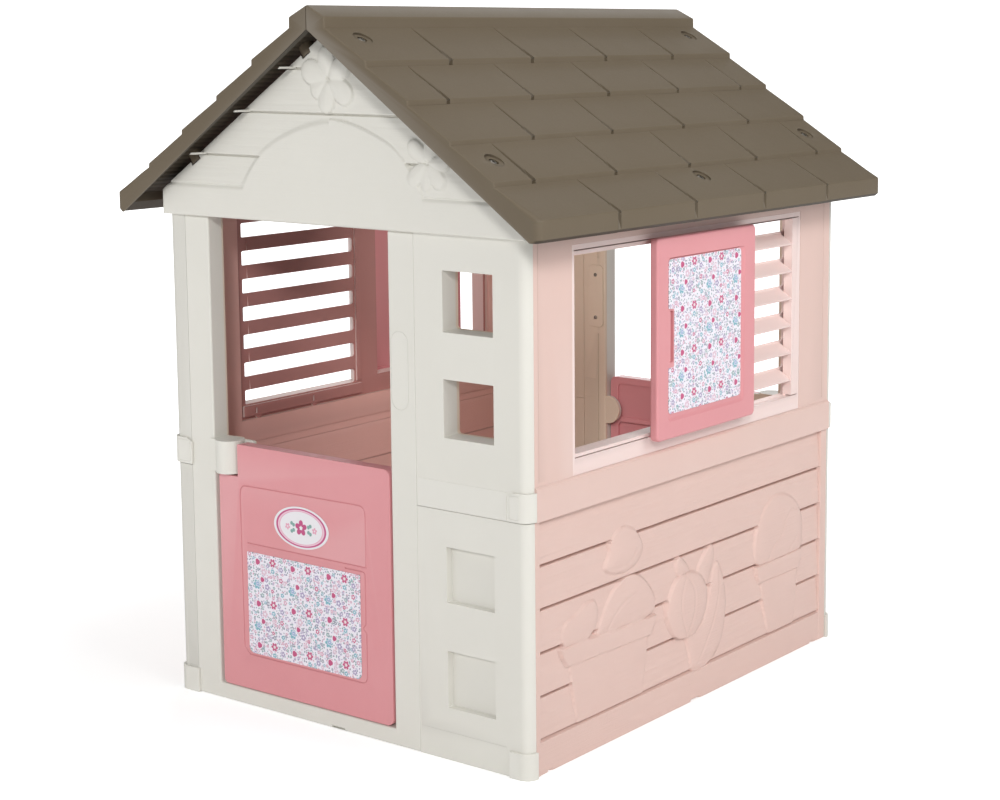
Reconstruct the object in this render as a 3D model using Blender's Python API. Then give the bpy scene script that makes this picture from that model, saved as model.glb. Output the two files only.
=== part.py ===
# Plastic garden playhouse for small children.
# Frame: metres, +Z up, origin on the ground at the centre of the footprint.
# The front wall (gable end) faces -Y, the right wall faces +X, the ridge runs along Y.
# Each back or left piece is its front or right partner turned half round the vertical axis.
import math

import bmesh
import bpy
from mathutils import Matrix, Vector

# ---------------------------------------------------------------- shared dimensions
# A pair of numbers is a span: (low, high) along the axis in its name.
GAP = 0.0003            # clearance left between neighbouring pieces
OVER = 0.01             # how far a cutting tool runs past the surface it opens
CORNER_STEPS = 4        # segments in each corner of a rounded rectangle

HALF_WIDTH = 0.416      # over the side walls
HALF_DEPTH = 0.494      # over the end walls
SEAM_Z = 0.4338         # joint between lower and upper panels
WALL_TOP = 0.8971       # top of the end walls, underside of the gable beam
END_THICK = 0.038       # end wall thickness
SIDE_THICK = 0.040      # side wall thickness
REBATE = 0.0187         # depth of the end wall's skin in front of the side wall's end
CORNER_R = REBATE - 0.0007              # outer corner radius in plan
FRONT_OUT = -HALF_DEPTH                 # outer and inner face of the front wall
FRONT_IN = FRONT_OUT + END_THICK
SIDE_IN = HALF_WIDTH - SIDE_THICK       # inner face of the right wall
SIDE_END = HALF_DEPTH - REBATE - GAP    # half length of the side walls
LEVELS = {"lower": (0, SEAM_Z), "upper": (SEAM_Z + GAP, WALL_TOP - GAP)}

# front wall layout, along X
POST_X = -0.3710        # corner post / door frame joint
OPENING_LEFT, OPENING_RIGHT = -0.3113, 0.1203
COLUMN_X = 0.1780       # door frame / window column joint
SILL_Z = 0.030

# half door and its hinge
DOOR_THICK = 0.024
DOOR_FACE = -0.4955     # outer face
DOOR_X = (-0.3000, 0.1175)
DOOR_Z = (0.0330, 0.4870)
NOTCH_X, NOTCH_Z = -0.2510, 0.4270      # upper left corner cut out around the knuckle
HINGE_X, HINGE_Y = -0.2810, DOOR_FACE + DOOR_THICK / 2
PIN_R = 0.0050
PIN_TOP, PIN_BOTTOM = 0.4770, 0.0070    # outer ends of the top and bottom pins
PIN_BORE_R = PIN_R + GAP

# plate inside the right-hand door jamb
PLATE_X, PLATE_Z = 0.1440, 0.6610
PLATE_SCREWS_Z = (PLATE_Z - 0.046, PLATE_Z + 0.046)
PLATE_FACE = FRONT_IN + 0.0033
PLATE_SHANK_R = 0.0020

# right wall layout: the window frame fills an opening above the band
BAND_FACE = HALF_WIDTH + 0.005
BAND_TOP = 0.4920
FRAME_Y = (-0.3723, 0.3623)
FRAME_Z = (BAND_TOP + 0.0005, 0.8800)

# shutter, with lips that run in tracks in the window frame
SHUTTER_X = (0.4290, 0.4460)
SHUTTER_Y = (-0.1680, 0.1510)
SHUTTER_Z = (0.5175, 0.8740)
LIP_THICK = 0.0035
LIPS_Z = [(z, z + LIP_THICK) for z in (0.5205, 0.8680)]
LEFT_SLIDE = 0.1770     # the left shutter sits this far behind its half-turned place

# roof: the underside plane falls outwards from the ridge
UNDER_RIDGE_Z = 1.2300
UNDER_SLOPE = 0.6840    # fall per metre outwards
TILT = math.atan(UNDER_SLOPE)
# tile courses: inner x, inner z, outer x, outer z
COURSES = (
    (0.0410, 1.2320, 0.1325, 1.1790),
    (0.1325, 1.1690, 0.2210, 1.1160),
    (0.2210, 1.1080, 0.3100, 1.0540),
    (0.3100, 1.0470, 0.3990, 0.9920),
    (0.3990, 0.9850, 0.4880, 0.9370),
)

# roof screws, square to the underside
MID_SCREW_X = 0.4250
# name, x, y where the axis meets the tiles
SCREWS = (
    ("front_top", 0.0700, -0.489),
    ("back_top", 0.0700, 0.489),
    ("front_eave", 0.3500, -0.489),
    ("back_eave", 0.3500, 0.489),
    ("mid_eave", MID_SCREW_X, 0.0),
)
SHANK_R = 0.0030
SHANK_LENGTH = 0.0440
HEAD_SEAT = -0.0060     # head's underside, measured from the tile surface
SHANK_BORE_R = SHANK_R + GAP
SCREW_BORE_END = -SHANK_LENGTH - 0.014
BOSS_R = 0.0105         # screw boss under the roof
BOSS_DROP = 0.0080      # how far a boss reaches into its notch in the gable


# ---------------------------------------------------------------- outlines and solids
def grow(span, amount):
    return (span[0] - amount, span[1] + amount)


def arc(centre, radius, start, end, steps):
    """Points on an arc, angles in degrees."""
    angles = [math.radians(start + (end - start) * i / steps) for i in range(steps + 1)]
    return [(centre[0] + radius * math.cos(angle), centre[1] + radius * math.sin(angle))
            for angle in angles]


def round_rect(across, up, radius):
    low_a, high_a = grow(across, -radius)
    low_b, high_b = grow(up, -radius)
    return (arc((high_a, low_b), radius, -90, 0, CORNER_STEPS)
            + arc((high_a, high_b), radius, 0, 90, CORNER_STEPS)
            + arc((low_a, high_b), radius, 90, 180, CORNER_STEPS)
            + arc((low_a, low_b), radius, 180, 270, CORNER_STEPS))


def link_mesh(bm):
    mesh = bpy.data.meshes.new("part")
    bmesh.ops.recalc_face_normals(bm, faces=bm.faces)
    bm.to_mesh(mesh)
    bm.free()
    ob = bpy.data.objects.new("part", mesh)
    bpy.context.scene.collection.objects.link(ob)
    return ob


def prism(plane, points, span):
    """A polygon in the plane 'xy', 'xz' or 'yz', extruded over a span of the third axis."""
    def place(a, b, height):
        if plane == "xy":
            return (a, b, height)
        if plane == "xz":
            return (a, height, b)
        return (height, a, b)

    low, high = span
    bm = bmesh.new()
    face = bm.faces.new([bm.verts.new(place(a, b, low)) for a, b in points])
    extruded = bmesh.ops.extrude_face_region(bm, geom=[face])["geom"]
    step = Vector(place(0, 0, high)) - Vector(place(0, 0, low))
    verts = [v for v in extruded if isinstance(v, bmesh.types.BMVert)]
    bmesh.ops.translate(bm, vec=step, verts=verts)
    return link_mesh(bm)


def box(x_span, y_span, z_span):
    (x0, x1), (y0, y1) = x_span, y_span
    return prism("xy", [(x0, y0), (x1, y0), (x1, y1), (x0, y1)], z_span)


def rod(centre, radius, z_span, segments=24):
    return prism("xy", arc(centre, radius, 0, 360 - 360 / segments, segments - 1), z_span)


def screw(head_r, head_height, shank_r, length, segments=12):
    """A turned body with its head above z = 0 and its shank running down to -length."""
    # radius, z
    profile = [(0, -length), (shank_r * 0.4, -length), (shank_r, -length + shank_r * 2),
               (shank_r, 0), (head_r, 0), (head_r, head_height * 0.35),
               (head_r * 0.72, head_height), (0, head_height)]
    bm = bmesh.new()
    rings = []
    for radius, z in profile:
        angles = [2 * math.pi * i / segments for i in range(segments if radius else 1)]
        rings.append([bm.verts.new((radius * math.cos(angle), radius * math.sin(angle), z))
                      for angle in angles])
    for low, high in zip(rings, rings[1:]):
        for i in range(segments):
            j = (i + 1) % segments
            corners = (low[i % len(low)], low[j % len(low)],
                       high[j % len(high)], high[i % len(high)])
            # a one-point ring at an end gives a triangle
            bm.faces.new(list(dict.fromkeys(corners)))
    return link_mesh(bm)


def combine(target, operation, tools):
    for tool in tools:
        modifier = target.modifiers.new("combine", "BOOLEAN")
        modifier.operation = operation
        modifier.object = tool
        modifier.solver = "EXACT"
        graph = bpy.context.evaluated_depsgraph_get()
        result = bpy.data.meshes.new_from_object(target.evaluated_get(graph))
        target.modifiers.clear()
        target.data = result
        bpy.data.objects.remove(tool, do_unlink=True)


def cut(target, *tools):
    combine(target, "DIFFERENCE", tools)


def add(target, *tools):
    combine(target, "UNION", tools)


# ---------------------------------------------------------------- finishing
def material(name, colour, roughness, metallic=0.0):
    mat = bpy.data.materials.new(name)
    mat.use_nodes = True
    inputs = mat.node_tree.nodes["Principled BSDF"].inputs
    inputs["Base Color"].default_value = (*colour, 1.0)
    inputs["Roughness"].default_value = roughness
    inputs["Metallic"].default_value = metallic
    mat.diffuse_color = (*colour, 1.0)
    return mat


def set_origin(ob, point):
    ob.data.transform(Matrix.Translation(-Vector(point)))
    ob.location = point


def finish(ob, name, mat):
    ob.name = name
    ob.data.name = name
    ob.data.materials.clear()
    ob.data.materials.append(mat)


OPPOSITE = {"front": "back", "right": "left", "left": "right"}


def finish_pair(ob, name, mat, slide=0.0):
    """Finish a piece and put its half-turned partner, moved by slide along Y, opposite it."""
    finish(ob, name, mat)
    partner_name = "_".join(OPPOSITE.get(word, word) for word in name.split("_"))
    partner = bpy.data.objects.new(partner_name, ob.data)
    bpy.context.scene.collection.objects.link(partner)
    partner.location = (-ob.location.x, -ob.location.y + slide, ob.location.z)
    partner.rotation_euler = (0, 0, math.pi)


# ---------------------------------------------------------------- front wall
def plate_axis(y, z):
    """Turns +Z into +Y, towards the inside of the house, on a plate screw's axis."""
    return Matrix.Translation((PLATE_X, y, z)) @ Matrix.Rotation(-math.pi / 2, 4, "X")


def plate_bore(y, z):
    tool = rod((0, 0), PLATE_SHANK_R + GAP, (0, 0.020), 12)
    tool.data.transform(plate_axis(y, z))
    return tool


def build_door_frame():
    left, right, top = POST_X + GAP, COLUMN_X - GAP, WALL_TOP - GAP
    frame = prism("xz", [
        (left, 0), (right, 0), (right, top), (OPENING_RIGHT, top), (OPENING_RIGHT, SILL_Z),
        (OPENING_LEFT, SILL_Z), (OPENING_LEFT, top), (left, top)], (FRONT_OUT, FRONT_IN))
    # hinge bracket: knuckle, its web to the left jamb, and a lug behind the door's corner
    knuckle_low, knuckle_high = knuckle_z = (0.4310, 0.4870)
    add(frame,
        rod((HINGE_X, HINGE_Y), 0.0265, knuckle_z),
        box((OPENING_LEFT - 0.004, HINGE_X - 0.010), (-0.4990, -0.4600), grow(knuckle_z, -0.001)),
        box((HINGE_X - 0.004, -0.2370), (-0.4690, -0.4590), (0.4700, knuckle_high - 0.002)))
    # rounded stop tab behind the door's free edge
    tab_z, tab_r, tab_root = 0.415, 0.030, OPENING_RIGHT + 0.004
    add(frame, prism("xz", [(tab_root, tab_z - tab_r)]
                     + arc((OPENING_RIGHT - 0.004, tab_z), tab_r, 270, 90, 8)
                     + [(tab_root, tab_z + tab_r)], (-0.4680, -0.4575)))
    cut(frame,
        rod((HINGE_X, HINGE_Y), PIN_BORE_R, (knuckle_low - OVER, PIN_TOP + 0.001)),
        rod((HINGE_X, HINGE_Y), PIN_BORE_R, (PIN_BOTTOM - 0.001, SILL_Z + OVER)),
        *[plate_bore(FRONT_IN - 0.016, z) for z in PLATE_SCREWS_Z])
    finish_pair(frame, "front_door_frame", CREAM)


def build_window_columns():
    """Right-hand column: full depth inside, a thin skin in front of the side wall's end."""
    window_x = (0.2425, 0.3445)
    # level: how far in the openings reach, their heights; those below are blind recesses
    openings = {
        "upper": (FRONT_IN + OVER, ((0.7375, 0.8355), (0.5600, 0.6540))),
        "lower": (FRONT_OUT + 0.012, ((0.2760, 0.3710), (0.0930, 0.1910))),
    }
    left, inner = COLUMN_X + GAP, SIDE_IN - GAP
    plan = ([(left, FRONT_OUT)]
            + arc((HALF_WIDTH - CORNER_R, FRONT_OUT + CORNER_R), CORNER_R, -90, 0, 5)
            + [(HALF_WIDTH, FRONT_OUT + REBATE), (inner, FRONT_OUT + REBATE),
               (inner, FRONT_IN), (left, FRONT_IN)])
    for level, (depth_y, heights) in openings.items():
        column = prism("xy", plan, LEVELS[level])
        cut(column, *[box(window_x, (FRONT_OUT - OVER, depth_y), z_span) for z_span in heights])
        finish_pair(column, "front_window_column_" + level, CREAM)


def build_corner_posts():
    plan = ([(-HALF_WIDTH, FRONT_OUT + REBATE)]
            + arc((-HALF_WIDTH + CORNER_R, FRONT_OUT + CORNER_R), CORNER_R, 180, 270, 5)
            + [(POST_X - GAP, FRONT_OUT), (POST_X - GAP, FRONT_OUT + REBATE)])
    for level, z_span in LEVELS.items():
        finish_pair(prism("xy", plan, z_span), "front_corner_post_" + level, CREAM)


def corner_shell_plan(side, reach):
    """An L that wraps the outer corner; reach is its length along the end wall."""
    thick = 0.005
    centre = (HALF_WIDTH - CORNER_R, FRONT_OUT + CORNER_R)
    tip_x, end_y = HALF_WIDTH + thick - reach, FRONT_OUT + REBATE - 0.0002
    points = ([(tip_x, FRONT_OUT - thick)] + arc(centre, CORNER_R + thick, -90, 0, 5)
              + [(HALF_WIDTH + thick, end_y), (HALF_WIDTH + GAP, end_y)]
              + arc(centre, CORNER_R + GAP, 0, -90, 5) + [(tip_x, FRONT_OUT - GAP)])
    return points if side > 0 else [(-x, y) for x, y in reversed(points)]


def build_corner_shells():
    for kind, z_span in (("clip", (0.4360, 0.4845)), ("foot", (0.0, 0.0460))):
        for hand, side, reach in (("right", 1, 0.0440), ("left", -1, 0.0540)):
            shell = prism("xy", corner_shell_plan(side, reach), z_span)
            finish_pair(shell, "corner_%s_front_%s" % (kind, hand), CREAM)


# ---------------------------------------------------------------- roof geometry for its neighbours
def underside(x, clearance=0.0):
    return UNDER_RIDGE_Z - clearance - UNDER_SLOPE * abs(x)


def tile_height(x):
    for x0, z0, x1, z1 in COURSES:
        if x0 <= x <= x1:
            return z0 + (z1 - z0) * (x - x0) / (x1 - x0)


def under_depth(x):
    """Distance along a screw's axis from the tile surface to the underside plane."""
    return (tile_height(x) - underside(x)) * math.cos(TILT)


def roof_rod(x, y, radius, top, bottom, side=1):
    """A rod on a roof screw's axis; top and bottom are measured from the tile surface."""
    tool = rod((0, 0), radius, (bottom, top), 16)
    tool.data.transform(Matrix.Translation((side * x, y, tile_height(x)))
                        @ Matrix.Rotation(side * TILT, 4, "Y"))
    return tool


# ---------------------------------------------------------------- gable
def build_gable():
    half, clearance = 0.4200, 0.0005
    face_y, beam_face_y, back_y = -0.4980, -0.5030, -0.4753
    beam_top = 0.9500
    low_z, peak_z = underside(half, clearance), underside(0, clearance)
    gable = prism("xz", [(-half, WALL_TOP), (half, WALL_TOP), (half, low_z),
                         (0, peak_z), (-half, low_z)], (face_y, back_y))
    # raised beam along the foot, its upper corners trimmed by the roof
    reach = (peak_z - beam_top) / UNDER_SLOPE
    add(gable, prism("xz", [(-half, WALL_TOP), (half, WALL_TOP), (half, low_z),
                            (reach, beam_top), (-reach, beam_top), (-half, low_z)],
                     (beam_face_y, face_y + 0.002)))
    for side in (1, -1):
        for _, x, y in SCREWS:
            if y < 0:
                notch_end = -under_depth(x) - BOSS_DROP - 0.0005
                cut(gable,
                    roof_rod(x, y, BOSS_R + 0.0007, 0.03, notch_end, side),
                    roof_rod(x, y, SHANK_BORE_R, 0.02, SCREW_BORE_END, side))
    finish_pair(gable, "front_gable", CREAM)


# ---------------------------------------------------------------- right wall
def build_lower_side_wall():
    wall = box((SIDE_IN, HALF_WIDTH), (-SIDE_END, SIDE_END), (0, SEAM_Z))
    # the planked field is set back between the two end borders
    plank_face = HALF_WIDTH - 0.005
    field_y = (-SIDE_END + 0.012, SIDE_END - 0.024)
    cut(wall, box((plank_face, HALF_WIDTH + OVER), field_y, grow((0, SEAM_Z), OVER)))
    first_groove_z, plank_pitch = 0.0623, 0.0743
    for k in range(5):
        z = first_groove_z + k * plank_pitch
        cut(wall, prism("xz", [(plank_face + 0.001, z - 0.0035), (plank_face + 0.001, z + 0.0015),
                               (plank_face - 0.004, z)], field_y))
    finish_pair(wall, "right_wall_lower", PALE_PINK)


def build_upper_side_wall():
    bottom, chamfer, clearance = SEAM_Z + GAP, 0.002, 0.0008
    wall = prism("xz", [
        (SIDE_IN, bottom), (BAND_FACE, bottom), (BAND_FACE, BAND_TOP - chamfer),
        (BAND_FACE - chamfer, BAND_TOP), (HALF_WIDTH, BAND_TOP),
        (HALF_WIDTH, underside(HALF_WIDTH, clearance)),
        (SIDE_IN, underside(SIDE_IN, clearance))], (-SIDE_END, SIDE_END))
    cut(wall,
        box(grow((SIDE_IN, BAND_FACE), OVER), FRAME_Y, FRAME_Z),
        roof_rod(MID_SCREW_X, 0, SHANK_BORE_R, 0.02, SCREW_BORE_END))
    finish_pair(wall, "right_wall_upper", PALE_PINK)


def build_window_frame():
    """An open part in front (-Y), louvres behind, and tracks for the shutter's lips."""
    inner, outer = frame_x = (SIDE_IN + 0.008, HALF_WIDTH - 0.0005)
    low_z, high_z = light_z = (0.5290, 0.8620)
    louvre_y = (0.0430, 0.3490)
    frame = box(frame_x, grow(FRAME_Y, -GAP), grow(FRAME_Z, -GAP))
    cut(frame,
        box(grow(frame_x, OVER), (-0.3655, -0.0240), light_z),
        box(grow(frame_x, OVER), louvre_y, light_z))
    slats = 6
    pitch = (high_z - low_z) / (2 * slats + 1)
    slat_out, slat_in = outer - 0.0010, outer - 0.0170
    for k in range(slats):
        z = low_z + pitch * (2 * k + 1.5)
        add(frame, prism("xz", [(slat_out, z - 0.0140), (slat_out, z + 0.0040),
                                (slat_in, z + 0.0140), (slat_in, z - 0.0040)],
                         grow(louvre_y, 0.001)))
    for lip_z in LIPS_Z:
        cut(frame, box((0.4030, outer + OVER), grow(FRAME_Y, -0.0065), grow(lip_z, 0.0015)))
    finish_pair(frame, "right_window_frame", PALE_PINK)


# ---------------------------------------------------------------- right shutter and its print
SHUTTER_PRINT_Y = (-0.1330, 0.1010)
SHUTTER_PRINT_Z = (0.5625, 0.8350)
PULL_Z = (0.6510, 0.7480)
PULL_WIDTH = 0.0165
RECESS_FLOOR = SHUTTER_X[1] - 0.0020


def shutter_print_outline(margin):
    """Rounded rectangle with the finger pull's notch in its front (-Y) edge."""
    y_span = grow(SHUTTER_PRINT_Y, margin)
    points = round_rect(y_span, grow(SHUTTER_PRINT_Z, margin), 0.008)
    edge, (notch_low, notch_high) = y_span[0], grow(PULL_Z, -margin)
    before_last_corner = 3 * (CORNER_STEPS + 1)
    points[before_last_corner:before_last_corner] = [
        (edge, notch_high), (edge + PULL_WIDTH, notch_high),
        (edge + PULL_WIDTH, notch_low), (edge, notch_low)]
    return points


def build_shutter():
    inner, outer = SHUTTER_X
    shutter = prism("yz", round_rect(SHUTTER_Y, SHUTTER_Z, 0.010), SHUTTER_X)
    for lip_z in LIPS_Z:
        add(shutter, box((0.4045, inner + 0.004), grow(SHUTTER_Y, -0.018), lip_z))
    pull_y = (SHUTTER_PRINT_Y[0], SHUTTER_PRINT_Y[0] + PULL_WIDTH)
    cut(shutter,
        prism("yz", shutter_print_outline(0.0005), (RECESS_FLOOR, outer + OVER)),
        box((outer - 0.0080, outer + OVER), grow(pull_y, -0.003), grow(PULL_Z, -0.004)))
    set_origin(shutter, [sum(span) / 2 for span in (SHUTTER_X, SHUTTER_Y, SHUTTER_Z)])
    finish_pair(shutter, "right_shutter", DEEP_PINK, slide=LEFT_SLIDE)


def build_shutter_print():
    label = prism("yz", shutter_print_outline(0), (RECESS_FLOOR + GAP, SHUTTER_X[1] - 0.0006))
    finish_pair(label, "right_shutter_print", FLORAL, slide=LEFT_SLIDE)


# ---------------------------------------------------------------- half door
def build_door():
    (left, right), (bottom, top) = DOOR_X, DOOR_Z
    corner, left_corner, seat_depth = 0.014, 0.008, 0.040
    door = prism("xz", (
        arc((left + left_corner, bottom + left_corner), left_corner, 180, 270, 4)
        + arc((right - corner, bottom + corner), corner, -90, 0, 4)
        + arc((right - corner, top - corner), corner, 0, 90, 4)
        + [(NOTCH_X, top), (NOTCH_X, NOTCH_Z), (left, NOTCH_Z)]),
        (DOOR_FACE, DOOR_FACE + DOOR_THICK))
    cut(door,
        rod((HINGE_X, HINGE_Y), PIN_BORE_R, (NOTCH_Z - seat_depth, NOTCH_Z + OVER)),
        rod((HINGE_X, HINGE_Y), PIN_BORE_R, (bottom - OVER, bottom + seat_depth)))
    set_origin(door, (HINGE_X, HINGE_Y, 0))
    finish_pair(door, "front_door", DEEP_PINK)


def build_hinge_pins():
    depth = 0.0395      # length inside the door
    for end, z_span in (("top", (NOTCH_Z - depth, PIN_TOP)),
                        ("bottom", (PIN_BOTTOM, DOOR_Z[0] + depth))):
        pin = rod((HINGE_X, HINGE_Y), PIN_R, z_span)
        set_origin(pin, (HINGE_X, HINGE_Y, 0))
        finish_pair(pin, "front_hinge_pin_" + end, DEEP_PINK)


def build_door_films():
    """A rectangular print and an oval badge on the door's outer face."""
    film_y = (DOOR_FACE - GAP - 0.0008, DOOR_FACE - GAP)
    outline = round_rect((-0.2310, 0.0460), (0.1030, 0.2920), 0.008)
    finish_pair(prism("xz", outline, film_y), "front_door_print", FLORAL)
    angles = [2 * math.pi * i / 32 for i in range(32)]
    oval = [(-0.0935 + 0.067 * math.cos(angle), 0.3550 + 0.038 * math.sin(angle))
            for angle in angles]
    finish_pair(prism("xz", oval, film_y), "front_door_badge", FLORAL)


# ---------------------------------------------------------------- jamb plate
def build_jamb_plate():
    outline = round_rect(grow((PLATE_X, PLATE_X), 0.019), grow((PLATE_Z, PLATE_Z), 0.067), 0.010)
    plate = prism("xz", outline, (FRONT_IN + GAP, PLATE_FACE))
    cut(plate, *[plate_bore(FRONT_IN - 0.010, z) for z in PLATE_SCREWS_Z])
    finish_pair(plate, "front_jamb_plate", CREAM)


def build_plate_screws():
    for number, z in enumerate(PLATE_SCREWS_Z, start=1):
        part = screw(head_r=0.0040, head_height=0.0018, shank_r=PLATE_SHANK_R, length=0.0160)
        part.data.transform(plate_axis(PLATE_FACE + GAP, z))
        finish_pair(part, "front_plate_screw_%d" % number, STEEL)


# ---------------------------------------------------------------- roof
def cut_tile_joints(roof):
    """Grooves down the slope between tiles, staggered from course to course."""
    tile_width, half_groove, shift = 0.2250, 0.0015, 0.004
    for row, (x0, z0, x1, z1) in enumerate(COURSES):
        drop = (z0 - z1) / (x1 - x0) * shift
        xa, xb = x0 + shift, x1 + shift
        za, zb = z0 - drop, z1 - drop
        profile = [(xa, za - 0.0025), (xb, zb - 0.0025), (xb, zb + 0.01), (xa, za + 0.0095)]
        joints = 4 + row % 2
        for k in range(joints):
            y = (k - (joints - 1) / 2) * tile_width
            cut(roof, prism("xz", profile, (y - half_groove, y + half_groove)))


def build_roof():
    half_length, eave_x, eave_z = 0.5510, COURSES[-1][2], 0.9010
    # ridge cap with its step down to the first course, then the courses
    profile = [(GAP / 2, 1.2700), (COURSES[0][0], 1.2500)]
    for x0, z0, x1, z1 in COURSES:
        profile += [(x0, z0), (x1, z1)]
    profile += [(eave_x, eave_z + 0.004), (eave_x - 0.005, eave_z),
                ((UNDER_RIDGE_Z - eave_z) / UNDER_SLOPE, eave_z),
                (GAP / 2, underside(GAP / 2))]
    roof = prism("xz", profile, (-half_length, half_length))
    cut_tile_joints(roof)
    # the underside is a pan inside the fascia lip, with a boss at each screw
    pan_in, pan_out, pan_depth, lip_thick = 0.006, 0.4550, 0.015, 0.014
    cut(roof, prism("xz", [(pan_in, underside(pan_in) - 0.01), (pan_out, underside(pan_out) - 0.03),
                           (pan_out, underside(pan_out) + pan_depth),
                           (pan_in, underside(pan_in) + pan_depth)],
                    (-half_length + lip_thick, half_length - lip_thick)))
    for _, x, y in SCREWS:
        # only the bosses over the gables reach below the underside plane
        drop = BOSS_DROP if y else 0.0
        add(roof, roof_rod(x, y, BOSS_R, -0.010, -under_depth(x) - drop))
    for _, x, y in SCREWS:
        cut(roof,
            roof_rod(x, y, 0.0110, 0.02, HEAD_SEAT - GAP),
            roof_rod(x, y, SHANK_BORE_R, 0.0, -0.06))
    finish_pair(roof, "roof_right", TAUPE)


def build_roof_screws():
    for label, x, y in SCREWS:
        for hand, side in (("right", 1), ("left", -1)):
            part = screw(head_r=0.0070, head_height=0.0035, shank_r=SHANK_R, length=SHANK_LENGTH)
            finish(part, "roof_screw_%s_%s" % (hand, label), STEEL)
            normal = Vector((side * math.sin(TILT), 0, math.cos(TILT)))
            part.location = Vector((side * x, y, tile_height(x))) + normal * HEAD_SEAT
            part.rotation_euler = (0, side * TILT, 0)


# ---------------------------------------------------------------- build
for old in list(bpy.data.objects):
    bpy.data.objects.remove(old, do_unlink=True)

# colours are linear RGB
CREAM = material("cream_plastic", colour=(0.775, 0.770, 0.690), roughness=0.45)
PALE_PINK = material("pale_pink_plastic", colour=(0.790, 0.575, 0.520), roughness=0.48)
DEEP_PINK = material("deep_pink_plastic", colour=(0.745, 0.300, 0.320), roughness=0.38)
TAUPE = material("taupe_plastic", colour=(0.155, 0.122, 0.086), roughness=0.55)
FLORAL = material("floral_print", colour=(0.85, 0.83, 0.88), roughness=0.35)
STEEL = material("screw_steel", colour=(0.45, 0.45, 0.46), roughness=0.35, metallic=1.0)

build_door_frame()
build_window_columns()
build_corner_posts()
build_corner_shells()
build_gable()
build_lower_side_wall()
build_upper_side_wall()
build_window_frame()
build_shutter()
build_shutter_print()
build_door()
build_hinge_pins()
build_door_films()
build_jamb_plate()
build_plate_screws()
build_roof()
build_roof_screws()
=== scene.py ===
import math
import bpy
import bmesh
import numpy as np
from mathutils import Matrix, Vector


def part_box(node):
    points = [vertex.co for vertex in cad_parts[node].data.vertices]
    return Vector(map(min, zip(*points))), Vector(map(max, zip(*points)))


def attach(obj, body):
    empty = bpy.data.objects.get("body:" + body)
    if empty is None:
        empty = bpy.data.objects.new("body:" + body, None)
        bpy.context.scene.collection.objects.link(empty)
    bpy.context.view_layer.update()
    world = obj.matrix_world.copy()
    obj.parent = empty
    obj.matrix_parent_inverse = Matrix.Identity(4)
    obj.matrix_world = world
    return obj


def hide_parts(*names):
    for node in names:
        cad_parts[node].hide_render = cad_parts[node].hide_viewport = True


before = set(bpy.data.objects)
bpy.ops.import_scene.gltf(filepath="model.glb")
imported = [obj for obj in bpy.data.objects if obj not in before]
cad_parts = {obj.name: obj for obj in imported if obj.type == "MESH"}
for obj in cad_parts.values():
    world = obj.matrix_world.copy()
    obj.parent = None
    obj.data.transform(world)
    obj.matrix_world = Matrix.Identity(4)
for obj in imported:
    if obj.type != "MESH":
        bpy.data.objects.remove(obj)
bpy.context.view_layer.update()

# ------------------------------------------------------------------ places, read from the frame
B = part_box
HX = B("front_window_column_upper")[1].x
HY = -B("front_window_column_upper")[0].y
Y0 = -HY
Y1 = B("front_window_column_upper")[1].y
Z_SEAM = B("front_window_column_lower")[1].z
Z_TOP = B("front_door_frame")[1].z
POST_X = B("front_door_frame")[0].x
COL_X = B("front_door_frame")[1].x
GABLE_BACK = B("front_gable")[1].y
BEAM_FACE = B("front_gable")[0].y
BEAM_X = B("front_gable")[1].x
WALL_X0 = B("right_wall_lower")[0].x
END_Y = B("right_wall_lower")[1].y
BAND_FACE = B("right_wall_upper")[1].x
WALL_TOP = B("right_wall_upper")[1].z
WIN_LO, WIN_HI = B("right_window_frame")
SHUT_LO, SHUT_HI = B("right_shutter")
DOOR_LO, DOOR_HI = B("front_door")
ROOF_LO, ROOF_HI = B("roof_right")
ROOF_X, ROOF_Y, RIDGE_Z = ROOF_HI.x, ROOF_HI.y, ROOF_HI.z
EAVE_Z0 = ROOF_LO.z
GAP = 0.0003
GABLE_FACE = BEAM_FACE + 0.005
REBATE = B("front_corner_post_lower")[1].y - Y0
POST_R = REBATE - 0.0007
V_Z, V_SLOPE = 1.2300, 0.6840
TILT = math.atan(V_SLOPE)
NORMAL = Vector((math.sin(TILT), 0, math.cos(TILT)))
COURSES = ((0.0410, 1.2320, 0.1325, 1.1790), (0.1325, 1.1690, 0.2210, 1.1160),
           (0.2210, 1.1080, 0.3100, 1.0540), (0.3100, 1.0470, 0.3990, 0.9920),
           (0.3990, 0.9850, ROOF_X, 0.9370))
TILE = 0.2250
SCREWS = ((0.0700, -0.489), (0.0700, 0.489), (0.3500, -0.489), (0.3500, 0.489), (0.4250, 0.0))
SCREW_NAMES = ("front_top", "back_top", "front_eave", "back_eave", "mid_eave")
HINGE_X, HINGE_Y, PIN_R = -0.2810, B("front_hinge_pin_top")[0].y + 0.005, 0.0050


# ------------------------------------------------------------------ numpy helpers
def smooth(t):
    t = np.clip(t, 0.0, 1.0)
    return t * t * (3 - 2 * t)


LATTICE = np.random.RandomState(7).rand(256, 256)


def vnoise(u, v, seed=0):
    """Smooth value noise from 0 to 1 on a fixed lattice."""
    u = np.asarray(u, float) + 37.7 * seed
    v = np.asarray(v, float) + 91.3 * seed
    iu, iv = np.floor(u).astype(int), np.floor(v).astype(int)
    fu, fv = u - iu, v - iv
    fu, fv = fu * fu * (3 - 2 * fu), fv * fv * (3 - 2 * fv)
    a = LATTICE[iu % 256, iv % 256]
    b = LATTICE[(iu + 1) % 256, iv % 256]
    c = LATTICE[iu % 256, (iv + 1) % 256]
    d = LATTICE[(iu + 1) % 256, (iv + 1) % 256]
    return a * (1 - fu) * (1 - fv) + b * fu * (1 - fv) + c * (1 - fu) * fv + d * fu * fv


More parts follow.
